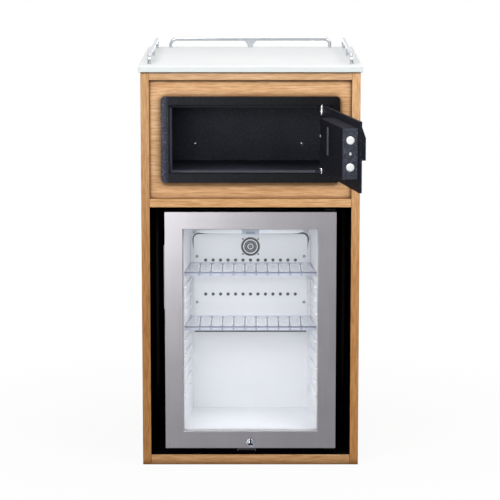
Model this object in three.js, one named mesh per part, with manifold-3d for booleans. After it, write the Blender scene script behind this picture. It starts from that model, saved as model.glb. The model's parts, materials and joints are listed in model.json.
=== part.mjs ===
// Hotel minibar cabinet: an oak cabinet with a white counter and chrome gallery rails,
// a steel hotel safe whose door stands open, and a glass-door minibar below it.
// Millimetres, +Z up, the front faces -Y. The origin is on the floor, under the middle of the carcass.

import * as THREE from 'three';
import { mergeVertices } from 'three/addons/utils/BufferGeometryUtils.js';
import Module from 'manifold-3d';

// Fits
const seatGap = 0.3;
const runningGap = 0.4;
const overcut = 1;
const weldOverlap = 1;

// Carcass
const carcassWidth = 514;
const carcassDepth = 585;
const sideThickness = 20;
const topThickness = 18;
const bottomThickness = 25;
const dividerThickness = 20;
const dividerGap = 10;
const fasciaBandHeight = 39;
const fasciaThickness = 18;
const fasciaRecess = 8;
const backThickness = 8;
const ventWidth = 320;
const ventTopGap = 102;
const ventBottomGap = 97;
const platformWidth = 320;

// Counter and gallery rails
const counterThickness = 14;
const counterSideOverhang = 5;
const counterFrontOverhang = 5;
const railDiameter = 9;
const railHeight = 26;
const railBendRadius = 14;
const railSideInset = 24;
const railFrontInset = 60;
const railBackInset = 25;
const railCornerGap = 30;
const railPostFlare = 17;
const railPostFoot = 6;
const railPostSteps = 5;
const railBendSteps = 5;

// Safe
const bezelWidth = 419;
const bezelHeight = 202;
const bezelThickness = 11;
const bezelSideBand = 18.5;
const bezelTopBand = 19;
const bezelBottomBand = 21;
const bezelCornerRadius = 8;
const shellSideInset = 5.5;
const shellEndInset = 6;
const shellDepth = 340;
const shellWall = 3;
const shellFit = 1;
const stopThickness = 2;
const stopReach = 5;
const stopHingeRelief = 55;

// Safe door
const safeOpenAngle = 101.5;
const safeDoorThickness = 6;
const safeDoorGap = 1.8;
const safeHingeInset = 22;
const safeHingeSetback = 1;
const safeBarrelRadius = 4;
const safeBarrelLength = 14;
const safePinRadius = 2;
const safePinInBezel = 7;
const safePinInBarrel = 10;
const lockCoverDepth = 35;
const lockCoverHeight = 115;
const lockCoverDrop = 15;
const lockCoverWall = 2;
const lockCoverHingeInset = 149;
const lockCoverFreeInset = 15;
const boltRadius = 9;
const boltLength = 58;
const boltSpacing = 60;
const boltSetback = 17;
const boltShowing = 3;
const boltBarWidth = 12;
const boltBarThickness = 12;
const motorLength = 36;
const motorHeight = 34;
const motorThickness = 20;
const motorInset = 85;

// Keypad on the safe door
const keypadLength = 185;
const keypadHeight = 75;
const keypadDrop = 14;
const keypadFreeInset = 22;
const keypadThickness = 14;
const keypadTopThickness = 5;
const keypadFlatHeight = 50;
const keySize = 16;
const keyPitch = 22;
const keyHeight = 5;
const keyShowing = 1.8;
const keyTravel = 1;

// Minibar door
const doorWidth = 406;
const doorTopReveal = 1.5;
const doorBottomReveal = 3.5;
const doorSetback = 2;
const doorFrameThickness = 20;
const doorFrameLip = 6;
const doorSideBand = 43;
const doorEndBand = 41;
const doorLinerThickness = 18;
const doorLinerInset = 3;
const doorLinerShowing = 2;
const glassEdge = 8;
const gasketThickness = 6.5;
const gasketInset = 16;
const gasketBand = 14;
const doorPivotInset = 13;
const doorPivotSetback = 29;
const doorPinRadius = 3;
const doorPinLength = 14;
const hingePlateThickness = 3;
const hingePlateWidth = 24;
const hingePlateLength = 84;

// Minibar lock
const lockRise = 13;
const lockBarrelRadius = 10.5;
const lockPlugRadius = 6.2;
const lockProud = 3;
const tongueReach = 22;
const tongueWidth = 9;
const tongueThickness = 4;
const tonguePocketMargin = 5;
const catchWidth = 44;
const catchThickness = 2;
const catchFloorGap = 1.5;
const catchLipHeight = 10.5;
const catchFlange = 34;
const catchShift = 9.5;

// Minibar cabinet
const casingSideInset = 2;
const casingDepth = 400;
const casingWall = 1.5;
const casingFloorGap = 11;
const footRadius = 13;
const footSpread = 126;
const footSetback = 26;
const skidLength = 300;
const skidDepth = 22;
const insulationDepth = 252;
const cavityTaperDepth = 18;
const cavityDepth = 214.5;
const cavityHeight = 489;
const cavityFloorRise = 43;
const cavityCeiling = 44;
const linerWall = 2;
const ribCount = 10;
const ribPitch = 33;
const ribLowestHeight = 78;
const ribHeight = 4;
const ribReach = 5;
const ribFrontInset = 17;
const ribLength = 128;

// Shelves, lamp, air cover and cooling
const shelfThickness = 4;
const shelfDepth = 136;
const shelfFrontInset = 10.5;
const shelfSideGap = 1.5;
const shelfLipDepth = 4;
const shelfLipDrop = 6;
const shelfSlotPitch = 27;
const shelfSlotWidth = 9;
const shelfSlotMargin = 12;
const lowerShelfRib = 5;
const upperShelfRib = 9;
const lampWidth = 42;
const lampDepth = 30;
const lampHeight = 21;
const lampFrontInset = 8;
const coverSideGap = 3;
const coverDepth = 62;
const coverHeight = 240;
const coverDrop = 41;
const coverWall = 2;
const coverCornerRadius = 13;
const fanDrop = 31;
const grilleRadius = 23;
const grilleRingCount = 4;
const grilleRingWidth = 2.4;
const grilleBarWidth = 3;
const grilleThickness = 2.5;
const impellerRadius = 20;
const impellerDepth = 11;
const impellerHubRadius = 8;
const impellerBlades = 7;
const impellerBladeThickness = 1.6;
const impellerBladeTilt = 35;
const fanSetback = 8;
const fanMotorGap = 2;
const motorCanRadius = 10;
const motorCanLength = 10;
const fanRingWall = 5;
const fanBridge = 2;
const holeColumns = 13;
const holePitch = 18.3;
const holeRadius = 4;
const holeRowDrops = [64.5, 149];
const coldSinkWidth = 150;
const coldSinkHeight = 90;
const coldSinkDepth = 20;
const coldSinkBase = 5;
const coldSinkDrop = 95;
const sinkFinPitch = 12;
const sinkFinThickness = 3;
const coolerWidth = 200;
const coolerHeight = 180;
const coolerDepth = 50;
const coolerBase = 7;
const coolerRise = 250;

// Places that follow from the sizes above
const frontY = -carcassDepth / 2;
const backY = carcassDepth / 2;
const innerHalfWidth = carcassWidth / 2 - sideThickness;

const bottomTop = bottomThickness;
const casingBottom = bottomTop + casingFloorGap;
const cavityFloor = casingBottom + cavityFloorRise;
const cavityTop = cavityFloor + cavityHeight;
const casingTop = cavityTop + cavityCeiling;
const dividerHeight = casingTop + dividerGap;
const dividerTop = dividerHeight + dividerThickness;
const topUnderside = dividerTop + bezelHeight + 2 * fasciaBandHeight;
const carcassHeight = topUnderside + topThickness;

const fasciaY = frontY + fasciaRecess;
const backPanelY = backY - backThickness;
const counterTop = carcassHeight + counterThickness;
const counterHalfWidth = carcassWidth / 2 + counterSideOverhang;
const counterFrontY = frontY - counterFrontOverhang;

const safeZ = (dividerTop + topUnderside) / 2;
const bezelFrontY = fasciaY - bezelThickness;
const openingHalfWidth = bezelWidth / 2 - bezelSideBand;
const openingTop = safeZ + bezelHeight / 2 - bezelTopBand;
const openingBottom = safeZ - bezelHeight / 2 + bezelBottomBand;
const shellWidth = bezelWidth - 2 * shellSideInset;
const shellHeight = bezelHeight - 2 * shellEndInset;
const shellFrontY = fasciaY + seatGap;
const shellBackY = shellFrontY + shellDepth;

const safeDoorTop = openingTop - safeDoorGap;
const safeDoorBottom = openingBottom + safeDoorGap;
const safePivotX = openingHalfWidth - safeDoorGap - safeHingeInset;
const safePivotY = bezelFrontY + safeDoorThickness + safeHingeSetback;
const safeDoorReach = openingHalfWidth - safeDoorGap + safePivotX;
const plateBack = -safeHingeSetback;
const plateFront = plateBack - safeDoorThickness;
const lockCoverTop = safeDoorTop - lockCoverDrop;
const lockCoverBottom = lockCoverTop - lockCoverHeight;
const lockCoverEnd = safeDoorReach - lockCoverFreeInset;
const lockZ = (lockCoverTop + lockCoverBottom) / 2;
const boltW = plateBack + boltSetback;

const doorBottom = casingBottom + doorBottomReveal;
const doorTop = casingTop - doorTopReveal;
const doorFrontY = frontY + doorSetback;
const doorFrameBackY = doorFrontY + doorFrameThickness;
const doorLinerY = doorFrameBackY + seatGap;
const doorLinerBackY = doorLinerY + doorLinerThickness;
const gasketY = doorLinerBackY + seatGap;
const gasketBackY = gasketY + gasketThickness;
const bodyY = gasketBackY + runningGap;
const doorPivotX = doorWidth / 2 - doorPivotInset;
const doorPivotY = doorFrontY + doorPivotSetback;
const lockAxisZ = doorBottom + lockRise;
const glassHalf = doorWidth / 2 - doorSideBand;

const casingHalf = doorWidth / 2 - casingSideInset;
const cavityHalf = glassHalf;
const cavityBackHalf = cavityHalf - cavityTaperDepth;
const coverHalf = cavityBackHalf - coverSideGap;

const casingBackY = bodyY + casingDepth;
const cavityBackY = bodyY + cavityDepth;
const coverY = cavityBackY - coverDepth;
const coverTop = cavityTop - coverDrop;
const coverBottom = coverTop - coverHeight;
const fanZ = coverTop - fanDrop;

// Materials
function finish(color, roughness, metalness) {
  return new THREE.MeshStandardMaterial({ color, roughness, metalness });
}

const oak = finish(0xd2a473, 0.55, 0);
const counterWhite = finish(0xf2f3f4, 0.3, 0);
const chrome = finish(0xd6dadd, 0.12, 1);
const safeBlack = finish(0x2d2f36, 0.6, 0.2);
const zincSteel = finish(0xb9bcc0, 0.35, 1);
const keyGrey = finish(0x8a8d93, 0.5, 0);
const stainless = finish(0xb4b3b6, 0.32, 1);
const clearGlass = finish(0xe6eef0, 0.05, 0);
const linerWhite = finish(0xe9eaee, 0.4, 0);
const clearPlastic = finish(0xd9dee6, 0.15, 0);
const casingBlack = finish(0x1c1c1e, 0.5, 0);
const foam = finish(0xd8c79a, 0.9, 0);
const rubber = finish(0x2a2a2c, 0.8, 0);
const aluminium = finish(0xa9adb1, 0.4, 1);

// Solids: blocks are written from their own corners, so that pieces that meet share exact faces.
const wasm = await Module();
wasm.setup();

function taperedBlock(front, back) {
  const corners = [];
  for (const end of [front, back]) {
    corners.push(end.x0, end.y, end.z0, end.x1, end.y, end.z0);
    corners.push(end.x1, end.y, end.z1, end.x0, end.y, end.z1);
  }
  const quads = [[0, 1, 2, 3], [5, 4, 7, 6], [1, 5, 6, 2], [4, 0, 3, 7], [3, 2, 6, 7], [4, 5, 1, 0]];
  const geometry = new THREE.BufferGeometry();
  geometry.setAttribute('position', new THREE.Float32BufferAttribute(corners, 3));
  geometry.setIndex(quads.flatMap(([a, b, c, d]) => [a, b, c, a, c, d]));
  return geometry;
}

function block(x0, x1, y0, y1, z0, z1) {
  return taperedBlock({ x0, x1, y: y0, z0, z1 }, { x0, x1, y: y1, z0, z1 });
}

function rod(axis, radius, from, to, a, b, sides) {
  const geometry = new THREE.CylinderGeometry(radius, radius, to - from, sides);
  const middle = (from + to) / 2;
  if (axis === 'x') return geometry.rotateZ(-Math.PI / 2).translate(middle, a, b);
  if (axis === 'y') return geometry.translate(a, middle, b);
  return geometry.rotateX(Math.PI / 2).translate(a, b, middle);
}

function prism(points, axis, from, to) {
  const shape = new THREE.Shape(points.map(([p, q]) => new THREE.Vector2(p, q)));
  const geometry = new THREE.ExtrudeGeometry(shape, { depth: to - from, bevelEnabled: false });
  geometry.translate(0, 0, from);
  const x = new THREE.Vector3(1, 0, 0);
  const y = new THREE.Vector3(0, 1, 0);
  const z = new THREE.Vector3(0, 0, 1);
  const basis = { x: [y, z, x], y: [z, x, y], z: [x, y, z] }[axis];
  return geometry.applyMatrix4(new THREE.Matrix4().makeBasis(...basis));
}

function roundedBlock(halfWidth, z0, z1, y0, y1, radius) {
  const points = [];
  const steps = 5;
  const centres = [[z1 - radius, halfWidth - radius, 0], [z1 - radius, radius - halfWidth, 3]];
  centres.push([z0 + radius, radius - halfWidth, 2], [z0 + radius, halfWidth - radius, 1]);
  for (const [z, x, quarter] of centres) {
    for (let step = steps; step >= 0; step -= 1) {
      const turn = (quarter + step / steps) * (Math.PI / 2);
      points.push([z + radius * Math.cos(turn), x + radius * Math.sin(turn)]);
    }
  }
  return prism(points.reverse(), 'y', y0, y1);
}

function solid(geometry) {
  const bare = geometry.clone();
  bare.deleteAttribute('normal');
  bare.deleteAttribute('uv');
  const merged = mergeVertices(bare, 1e-4);
  const vertProperties = new Float32Array(merged.attributes.position.array);
  const triVerts = new Uint32Array(merged.index.array);
  return new wasm.Manifold(new wasm.Mesh({ numProp: 3, vertProperties, triVerts }));
}

function geometryOf(manifold) {
  const mesh = manifold.getMesh();
  const geometry = new THREE.BufferGeometry();
  geometry.setAttribute('position', new THREE.BufferAttribute(mesh.vertProperties, 3));
  geometry.setIndex(new THREE.BufferAttribute(mesh.triVerts, 1));
  return geometry;
}

function cut(base, ...tools) {
  return geometryOf(tools.reduce((body, tool) => body.subtract(solid(tool)), solid(base)));
}

function join(base, ...pieces) {
  return geometryOf(pieces.reduce((body, piece) => body.add(solid(piece)), solid(base)));
}

const cabinet = new THREE.Group();
const safeDoor = new THREE.Group();
safeDoor.position.set(safePivotX, safePivotY, 0);
safeDoor.rotation.z = THREE.MathUtils.degToRad(safeOpenAngle);
cabinet.add(safeDoor);

function place(name, geometry, material, group = cabinet) {
  const mesh = new THREE.Mesh(geometry, material);
  mesh.name = name;
  group.add(mesh);
}

// Carcass boards
for (const [name, side] of [['side_left', -1], ['side_right', 1]]) {
  const edges = [side * (carcassWidth / 2), side * innerHalfWidth].sort((a, b) => a - b);
  place(name, block(...edges, frontY, backY, 0, carcassHeight), oak);
}

function board(name, y0, y1, z0, z1) {
  place(name, block(-innerHalfWidth, innerHalfWidth, y0, y1, z0, z1), oak);
}

board('top_panel', frontY, backPanelY, topUnderside, carcassHeight);
board('divider_shelf', frontY, backPanelY, dividerHeight, dividerTop);
board('bottom_panel', frontY, backPanelY, 0, bottomTop);

const backPanel = block(-innerHalfWidth, innerHalfWidth, backPanelY, backY, 0, carcassHeight);
const ventBottom = bottomTop + ventBottomGap;
const ventTop = dividerHeight - ventTopGap;
const vent = block(
  -ventWidth / 2, ventWidth / 2, backPanelY - overcut, backY + overcut, ventBottom, ventTop);
place('back_panel', cut(backPanel, vent), oak);

const fascia = block(
  -innerHalfWidth, innerHalfWidth, fasciaY, fasciaY + fasciaThickness, dividerTop, topUnderside);
const fasciaCut = block(
  -shellWidth / 2 - shellFit, shellWidth / 2 + shellFit,
  fasciaY - overcut, fasciaY + fasciaThickness + overcut,
  safeZ - shellHeight / 2 - shellFit, safeZ + shellHeight / 2 + shellFit);
place('safe_fascia', cut(fascia, fasciaCut), oak);

const platformFrontY = fasciaY + fasciaThickness;
const platformTop = safeZ - shellHeight / 2;
place('safe_platform', block(
  -platformWidth / 2, platformWidth / 2, platformFrontY, shellBackY, dividerTop, platformTop), oak);

// Counter and gallery rails
place('countertop', block(
  -counterHalfWidth, counterHalfWidth, counterFrontY, backY, carcassHeight, counterTop), counterWhite);

// A rail is one bent rod: up from its foot, along the counter and down again, with a flared post midway.
// The curve spends one step on each leg, one on the run and a few on each bend.
class BentRod extends THREE.Curve {
  constructor(half, top) {
    super();
    this.half = half;
    this.top = top;
    this.stepCount = 2 * (railBendSteps + 1) + 1;
  }

  getUtoTmapping(u) {
    return u;
  }

  getPoint(t, target = new THREE.Vector3()) {
    const step = t * this.stepCount;
    const side = step <= this.stepCount / 2 ? -1 : 1;
    const along = Math.min(step, this.stepCount - step);
    const straight = this.half - railBendRadius;
    if (along <= 1) return target.set(side * this.half, 0, along * (this.top - railBendRadius));
    if (along >= railBendSteps + 1) {
      return target.set(side * straight * (1 - 2 * (along - railBendSteps - 1)), 0, this.top);
    }
    const turn = ((along - 1) / railBendSteps) * (Math.PI / 2);
    const x = straight + railBendRadius * Math.cos(turn);
    return target.set(side * x, 0, this.top - railBendRadius * (1 - Math.sin(turn)));
  }
}

function galleryRail(length) {
  const radius = railDiameter / 2;
  const top = railHeight - radius;
  const extrudePath = new BentRod(length / 2 - radius, top);
  const section = new THREE.Shape().absarc(0, 0, radius, 0, Math.PI * 2);
  const bar = new THREE.ExtrudeGeometry(
    section, { steps: extrudePath.stepCount, curveSegments: 5, bevelEnabled: false, extrudePath });
  const profile = [[0, 0]];
  for (let step = 0; step <= railPostSteps; step += 1) {
    const rise = step / railPostSteps;
    profile.push([railPostFoot + (railPostFlare - railPostFoot) * rise ** 3, top * rise]);
  }
  profile.push([0, top]);
  const post = new THREE.LatheGeometry(profile.map(([r, h]) => new THREE.Vector2(r, h)), 16);
  const slab = block(-railPostFlare, railPostFlare, -radius, radius, 0, top);
  const flatPost = geometryOf(solid(post.rotateX(Math.PI / 2)).intersect(solid(slab)));
  return join(bar, flatPost);
}

const railZ = counterTop + seatGap;
const sideRailX = counterHalfWidth - railSideInset;
const backRailY = backY - railBackInset;
const sideRailFrontY = counterFrontY + railFrontInset;
const sideRailLength = backRailY - sideRailFrontY;
const sideRailY = (backRailY + sideRailFrontY) / 2;
for (const [name, x] of [['gallery_rail_left', -sideRailX], ['gallery_rail_right', sideRailX]]) {
  place(name, galleryRail(sideRailLength).rotateZ(Math.PI / 2).translate(x, sideRailY, railZ), chrome);
}
const backRailLength = 2 * (sideRailX - railCornerGap);
place('gallery_rail_back', galleryRail(backRailLength).translate(0, backRailY, railZ), chrome);

// Safe: a steel shell with a door stop behind a thick front bezel
function shellBox(inset, y0, y1) {
  const halfWidth = shellWidth / 2 - inset;
  const halfHeight = shellHeight / 2 - inset;
  return block(-halfWidth, halfWidth, y0, y1, safeZ - halfHeight, safeZ + halfHeight);
}

const stopMouth = block(
  -openingHalfWidth + stopReach, shellWidth / 2 - shellWall, shellFrontY - overcut,
  shellFrontY + stopThickness + overcut, openingBottom + stopReach, openingTop - stopReach);
const hingeMouth = block(
  safePivotX - stopHingeRelief, shellWidth / 2 - shellWall, shellFrontY - overcut,
  shellFrontY + stopThickness + overcut, openingBottom, openingTop);
const shellHollow = shellBox(shellWall, shellFrontY + stopThickness, shellBackY - shellWall);
place('safe_shell', cut(shellBox(0, shellFrontY, shellBackY), shellHollow, stopMouth, hingeMouth), safeBlack);

const bezelBottom = safeZ - bezelHeight / 2;
const bezelTop = safeZ + bezelHeight / 2;
const bezelBlank = roundedBlock(
  bezelWidth / 2, bezelBottom, bezelTop, bezelFrontY, fasciaY, bezelCornerRadius);
const bezelMouth = block(
  -openingHalfWidth, openingHalfWidth, bezelFrontY - overcut, fasciaY + overcut, openingBottom, openingTop);
const pinSeat = rod(
  'z', safePinRadius + seatGap, openingBottom - safePinInBezel - seatGap,
  openingTop + safePinInBezel + seatGap, safePivotX, safePivotY, 12);
place('safe_bezel', cut(bezelBlank, bezelMouth, pinSeat), safeBlack);

const pinSpans = {
  safe_hinge_pin_top: [safeDoorTop - safePinInBarrel, openingTop + safePinInBezel],
  safe_hinge_pin_bottom: [openingBottom - safePinInBezel, safeDoorBottom + safePinInBarrel],
};
for (const [name, [z0, z1]] of Object.entries(pinSpans)) {
  place(name, rod('z', safePinRadius, z0, z1, safePivotX, safePivotY, 12), zincSteel);
}

// Safe door, drawn shut about its pivot: u runs from the pivot to the free edge, w runs into the safe.
function doorBlock(u0, u1, w0, w1, z0, z1) {
  return block(-u1, -u0, w0, w1, z0, z1);
}

function addToDoor(name, geometry, material) {
  place(name, geometry, material, safeDoor);
}

const plate = doorBlock(-safeHingeInset, safeDoorReach, plateFront, plateBack, safeDoorBottom, safeDoorTop);
const barrels = [
  rod('z', safeBarrelRadius, safeDoorTop - safeBarrelLength, safeDoorTop, 0, 0, 16),
  rod('z', safeBarrelRadius, safeDoorBottom, safeDoorBottom + safeBarrelLength, 0, 0, 16),
];
const boreDepth = safePinInBarrel + runningGap;
const bores = [
  rod('z', safePinRadius + seatGap, safeDoorTop - boreDepth, safeDoorTop + overcut, 0, 0, 12),
  rod('z', safePinRadius + seatGap, safeDoorBottom - overcut, safeDoorBottom + boreDepth, 0, 0, 12),
];
addToDoor('safe_door_plate', cut(join(plate, ...barrels), ...bores), safeBlack);

const lockCoverStart = lockCoverHingeInset - safeHingeInset;
const lockCoverW = plateBack + seatGap;
const lockCoverBack = plateBack + lockCoverDepth;
const lockCoverBlank = doorBlock(
  lockCoverStart, lockCoverEnd, lockCoverW, lockCoverBack, lockCoverBottom, lockCoverTop);
const lockCoverHollow = doorBlock(
  lockCoverStart + lockCoverWall, lockCoverEnd - lockCoverWall,
  lockCoverW - overcut, lockCoverBack - lockCoverWall,
  lockCoverBottom + lockCoverWall, lockCoverTop - lockCoverWall);
const boltHeights = { safe_bolt_upper: lockZ + boltSpacing / 2, safe_bolt_lower: lockZ - boltSpacing / 2 };
const boltTip = lockCoverEnd + boltShowing;
const boltTail = boltTip - boltLength;
const boltGuides = Object.values(boltHeights).map((z) => rod(
  'x', boltRadius + runningGap, -lockCoverEnd - overcut, -lockCoverEnd + lockCoverWall + overcut,
  boltW, z, 20));
addToDoor('safe_lock_cover', cut(lockCoverBlank, lockCoverHollow, ...boltGuides), safeBlack);

for (const [name, z] of Object.entries(boltHeights)) {
  addToDoor(name, rod('x', boltRadius, -boltTip, -boltTail, boltW, z, 20), zincSteel);
}
const barHead = boltTail - seatGap;
const barHalfHeight = boltSpacing / 2 + boltRadius;
addToDoor('safe_bolt_bar', doorBlock(
  barHead - boltBarWidth, barHead, boltW - boltBarThickness / 2, boltW + boltBarThickness / 2,
  lockZ - barHalfHeight, lockZ + barHalfHeight), zincSteel);
const motorHead = lockCoverEnd - motorInset;
const motorW = plateBack + seatGap;
addToDoor('safe_lock_motor', doorBlock(
  motorHead - motorLength, motorHead, motorW, motorW + motorThickness,
  lockZ - motorHeight / 2, lockZ + motorHeight / 2), zincSteel);

// Keypad: a wedge-topped housing with two rows of keys
const keypadEnd = safeDoorReach - keypadFreeInset;
const keypadTop = safeDoorTop - keypadDrop;
const keypadBottom = keypadTop - keypadHeight;
const keypadSeat = plateFront - seatGap;
const keypadFace = keypadSeat - keypadThickness;
const keypadProfile = [
  [keypadSeat, keypadBottom], [keypadSeat, keypadTop], [keypadSeat - keypadTopThickness, keypadTop],
  [keypadFace, keypadBottom + keypadFlatHeight], [keypadFace, keypadBottom],
];
const keypadBlank = prism(keypadProfile.reverse(), 'x', -keypadEnd, keypadLength - keypadEnd);
const keyRows = [
  ['key_1', 'key_2', 'key_3', 'key_4', 'key_5', 'key_clear'],
  ['key_6', 'key_7', 'key_8', 'key_9', 'key_0', 'key_lock'],
];
const keyPlaces = [];
keyRows.forEach((row, rowIndex) => row.forEach((name, column) => {
  const x = -keypadEnd + keypadLength / 2 + (column - (row.length - 1) / 2) * keyPitch;
  const z = keypadBottom + keypadFlatHeight / 2 + ((keyRows.length - 1) / 2 - rowIndex) * keyPitch;
  keyPlaces.push({ name, x, z });
}));

function keyBlock({ x, z }, w0, w1, halfSize) {
  return block(x - halfSize, x + halfSize, w0, w1, z - halfSize, z + halfSize);
}

const keyFront = keypadFace - keyShowing;
const keyBack = keyFront + keyHeight;
const keyPockets = keyPlaces.map((spot) => keyBlock(
  spot, keypadFace - overcut, keyBack + keyTravel + runningGap, keySize / 2 + runningGap));
addToDoor('keypad_housing', cut(keypadBlank, ...keyPockets), safeBlack);
for (const spot of keyPlaces) {
  addToDoor(spot.name, keyBlock(spot, keyFront, keyBack, keySize / 2), keyGrey);
}

// Minibar door: a steel frame with a rebate for the glass, a white inner frame and a gasket
function ring(outerHalf, innerHalf, outerZ, innerZ, y0, y1) {
  const outer = block(-outerHalf, outerHalf, y0, y1, ...outerZ);
  return cut(outer, block(-innerHalf, innerHalf, y0 - overcut, y1 + overcut, ...innerZ));
}

const glassZ = [doorBottom + doorEndBand, doorTop - doorEndBand];
const rebateHalf = glassHalf + glassEdge;
const rebateZ = [glassZ[0] - glassEdge, glassZ[1] + glassEdge];
const rebateY = doorFrontY + doorFrameLip;
const frameRing = ring(doorWidth / 2, glassHalf, [doorBottom, doorTop], glassZ, doorFrontY, doorFrameBackY);
const rebate = block(-rebateHalf, rebateHalf, rebateY, doorFrameBackY + overcut, ...rebateZ);
const barrelHole = rod(
  'y', lockBarrelRadius + seatGap, doorFrontY - overcut, doorFrameBackY + overcut, 0, lockAxisZ, 24);
place('fridge_door_frame', cut(frameRing, rebate, barrelHole), stainless);

place('fridge_door_glass', block(
  seatGap - rebateHalf, rebateHalf - seatGap, rebateY + seatGap, doorFrameBackY,
  rebateZ[0] + seatGap, rebateZ[1] - seatGap), clearGlass);

const linerHalf = doorWidth / 2 - doorLinerInset;
const doorLinerRing = ring(
  linerHalf, glassHalf - doorLinerShowing, [doorBottom, doorTop],
  [glassZ[0] + doorLinerShowing, glassZ[1] - doorLinerShowing], doorLinerY, doorLinerBackY);
const tongueY = doorLinerY + tonguePocketMargin / 2;
const tonguePocket = block(
  -tongueWidth / 2 - tonguePocketMargin, tongueReach + tonguePocketMargin,
  doorLinerY - overcut, tongueY + tongueThickness + tonguePocketMargin,
  doorBottom - overcut, lockAxisZ + tongueWidth / 2 + tonguePocketMargin);
const hingeHole = (z0, z1) => rod('z', doorPinRadius + runningGap, z0, z1, doorPivotX, doorPivotY, 14);
place('fridge_door_liner', cut(
  doorLinerRing, tonguePocket, hingeHole(doorTop - doorPinLength - runningGap, doorTop + overcut),
  hingeHole(doorBottom - overcut, doorBottom + doorPinLength + runningGap)), linerWhite);

const gasketHalf = doorWidth / 2 - gasketInset;
const gasketZ = [doorBottom + gasketInset, doorTop - gasketInset];
place('fridge_door_gasket', ring(
  gasketHalf, gasketHalf - gasketBand, gasketZ, [gasketZ[0] + gasketBand, gasketZ[1] - gasketBand],
  gasketY, gasketBackY), linerWhite);

// Minibar lock: a barrel in the door, and a plug whose tongue turns down behind a catch
const lockFrontY = doorFrontY - lockProud;
const lockBarrel = rod('y', lockBarrelRadius, lockFrontY, doorFrameBackY, 0, lockAxisZ, 24);
const lockBore = rod(
  'y', lockPlugRadius + seatGap, lockFrontY - overcut, doorFrameBackY + overcut, 0, lockAxisZ, 18);
place('lock_barrel', cut(lockBarrel, lockBore), chrome);
const plug = rod('y', lockPlugRadius, lockFrontY + seatGap, tongueY + tongueThickness, 0, lockAxisZ, 18);
const tongue = block(
  -tongueWidth / 2, tongueReach, tongueY, tongueY + tongueThickness,
  lockAxisZ - tongueWidth / 2, lockAxisZ + tongueWidth / 2);
place('lock_cylinder', join(plug, tongue), chrome);

const catchBottom = bottomTop + catchFloorGap;
const catchLipY = tongueY - tonguePocketMargin;
const catchRiserY = bodyY + tonguePocketMargin;
const catchProfile = [
  [catchLipY - catchThickness, catchBottom], [catchRiserY, catchBottom],
  [catchRiserY, casingBottom - catchThickness], [catchRiserY + catchFlange, casingBottom - catchThickness],
  [catchRiserY + catchFlange, casingBottom], [catchRiserY - catchThickness, casingBottom],
  [catchRiserY - catchThickness, catchBottom + catchThickness], [catchLipY, catchBottom + catchThickness],
  [catchLipY, catchBottom + catchLipHeight], [catchLipY - catchThickness, catchBottom + catchLipHeight],
];
place('lock_catch', prism(
  catchProfile, 'x', -catchWidth / 2 - catchShift, catchWidth / 2 - catchShift), zincSteel);

// Minibar casing, insulation, feet and hinge brackets
place('fridge_casing', cut(
  block(-casingHalf, casingHalf, bodyY, casingBackY, casingBottom, casingTop),
  block(casingWall - casingHalf, casingHalf - casingWall, bodyY - overcut, casingBackY + overcut,
    casingBottom + casingWall, casingTop - casingWall)), casingBlack);

function cavityHalfAt(y) {
  const run = (y - bodyY) / cavityDepth;
  return cavityHalf - cavityTaperDepth * run;
}

function cavityBlock(y0, y1, grow) {
  const end = (y) => {
    const half = cavityHalfAt(y) + grow;
    return { x0: -half, x1: half, y, z0: cavityFloor - grow, z1: cavityTop + grow };
  };
  return taperedBlock(end(y0), end(y1));
}

const linerFlangeY = bodyY + linerWall;
const insideHalf = casingHalf - casingWall - seatGap;
const insideZ = [casingBottom + casingWall + seatGap, casingTop - casingWall - seatGap];
const insulation = block(
  -insideHalf, insideHalf, linerFlangeY + seatGap, bodyY + insulationDepth, ...insideZ);
place('fridge_insulation', cut(insulation, cavityBlock(
  bodyY, cavityBackY + linerWall + seatGap, linerWall + seatGap)), foam);

const flange = block(-insideHalf, insideHalf, bodyY, linerFlangeY, ...insideZ);
const linerOuter = cavityBlock(bodyY, cavityBackY + linerWall, linerWall);
const linerInner = cavityBlock(bodyY - overcut, cavityBackY, 0);
const ribFrontY = bodyY + ribFrontInset;
const ribBackY = ribFrontY + ribLength;
const ribTop = (index) => cavityFloor + ribLowestHeight + index * ribPitch;
const ribs = [];
for (let index = 0; index < ribCount; index += 1) {
  for (const side of [-1, 1]) {
    const end = (y) => {
      const edges = [side * (cavityHalfAt(y) + linerWall / 2), side * (cavityHalfAt(y) - ribReach)];
      const [x0, x1] = edges.sort((a, b) => a - b);
      return { x0, x1, y, z0: ribTop(index) - ribHeight, z1: ribTop(index) };
    };
    ribs.push(taperedBlock(end(ribFrontY), end(ribBackY)));
  }
}
const linerShell = cut(join(flange, linerOuter), linerInner);
place('fridge_liner', join(linerShell, ...ribs), linerWhite);

const footY = bodyY + footSetback;
for (const [name, x] of [['fridge_foot_left', -footSpread], ['fridge_foot_right', footSpread]]) {
  place(name, rod('z', footRadius, bottomTop, casingBottom, x, footY, 16), rubber);
}
const skidY = casingBackY - footSetback;
place('fridge_rear_skid', block(
  -skidLength / 2, skidLength / 2, skidY - skidDepth / 2, skidY + skidDepth / 2,
  bottomTop, casingBottom), rubber);

const hingePlateY = doorPivotY - hingePlateWidth / 2;
function hingeBracket(z0, z1, pin) {
  const bracket = block(
    casingHalf - hingePlateWidth, casingHalf, hingePlateY, hingePlateY + hingePlateLength, z0, z1);
  return join(bracket, pin);
}
const topPin = rod(
  'z', doorPinRadius, doorTop - doorPinLength, casingTop + weldOverlap, doorPivotX, doorPivotY, 14);
const bottomPin = rod(
  'z', doorPinRadius, casingBottom - weldOverlap, doorBottom + doorPinLength, doorPivotX, doorPivotY, 14);
place('hinge_bracket_top', hingeBracket(casingTop, casingTop + hingePlateThickness, topPin), zincSteel);
place('hinge_bracket_bottom', hingeBracket(
  casingBottom - hingePlateThickness, casingBottom, bottomPin), zincSteel);

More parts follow.
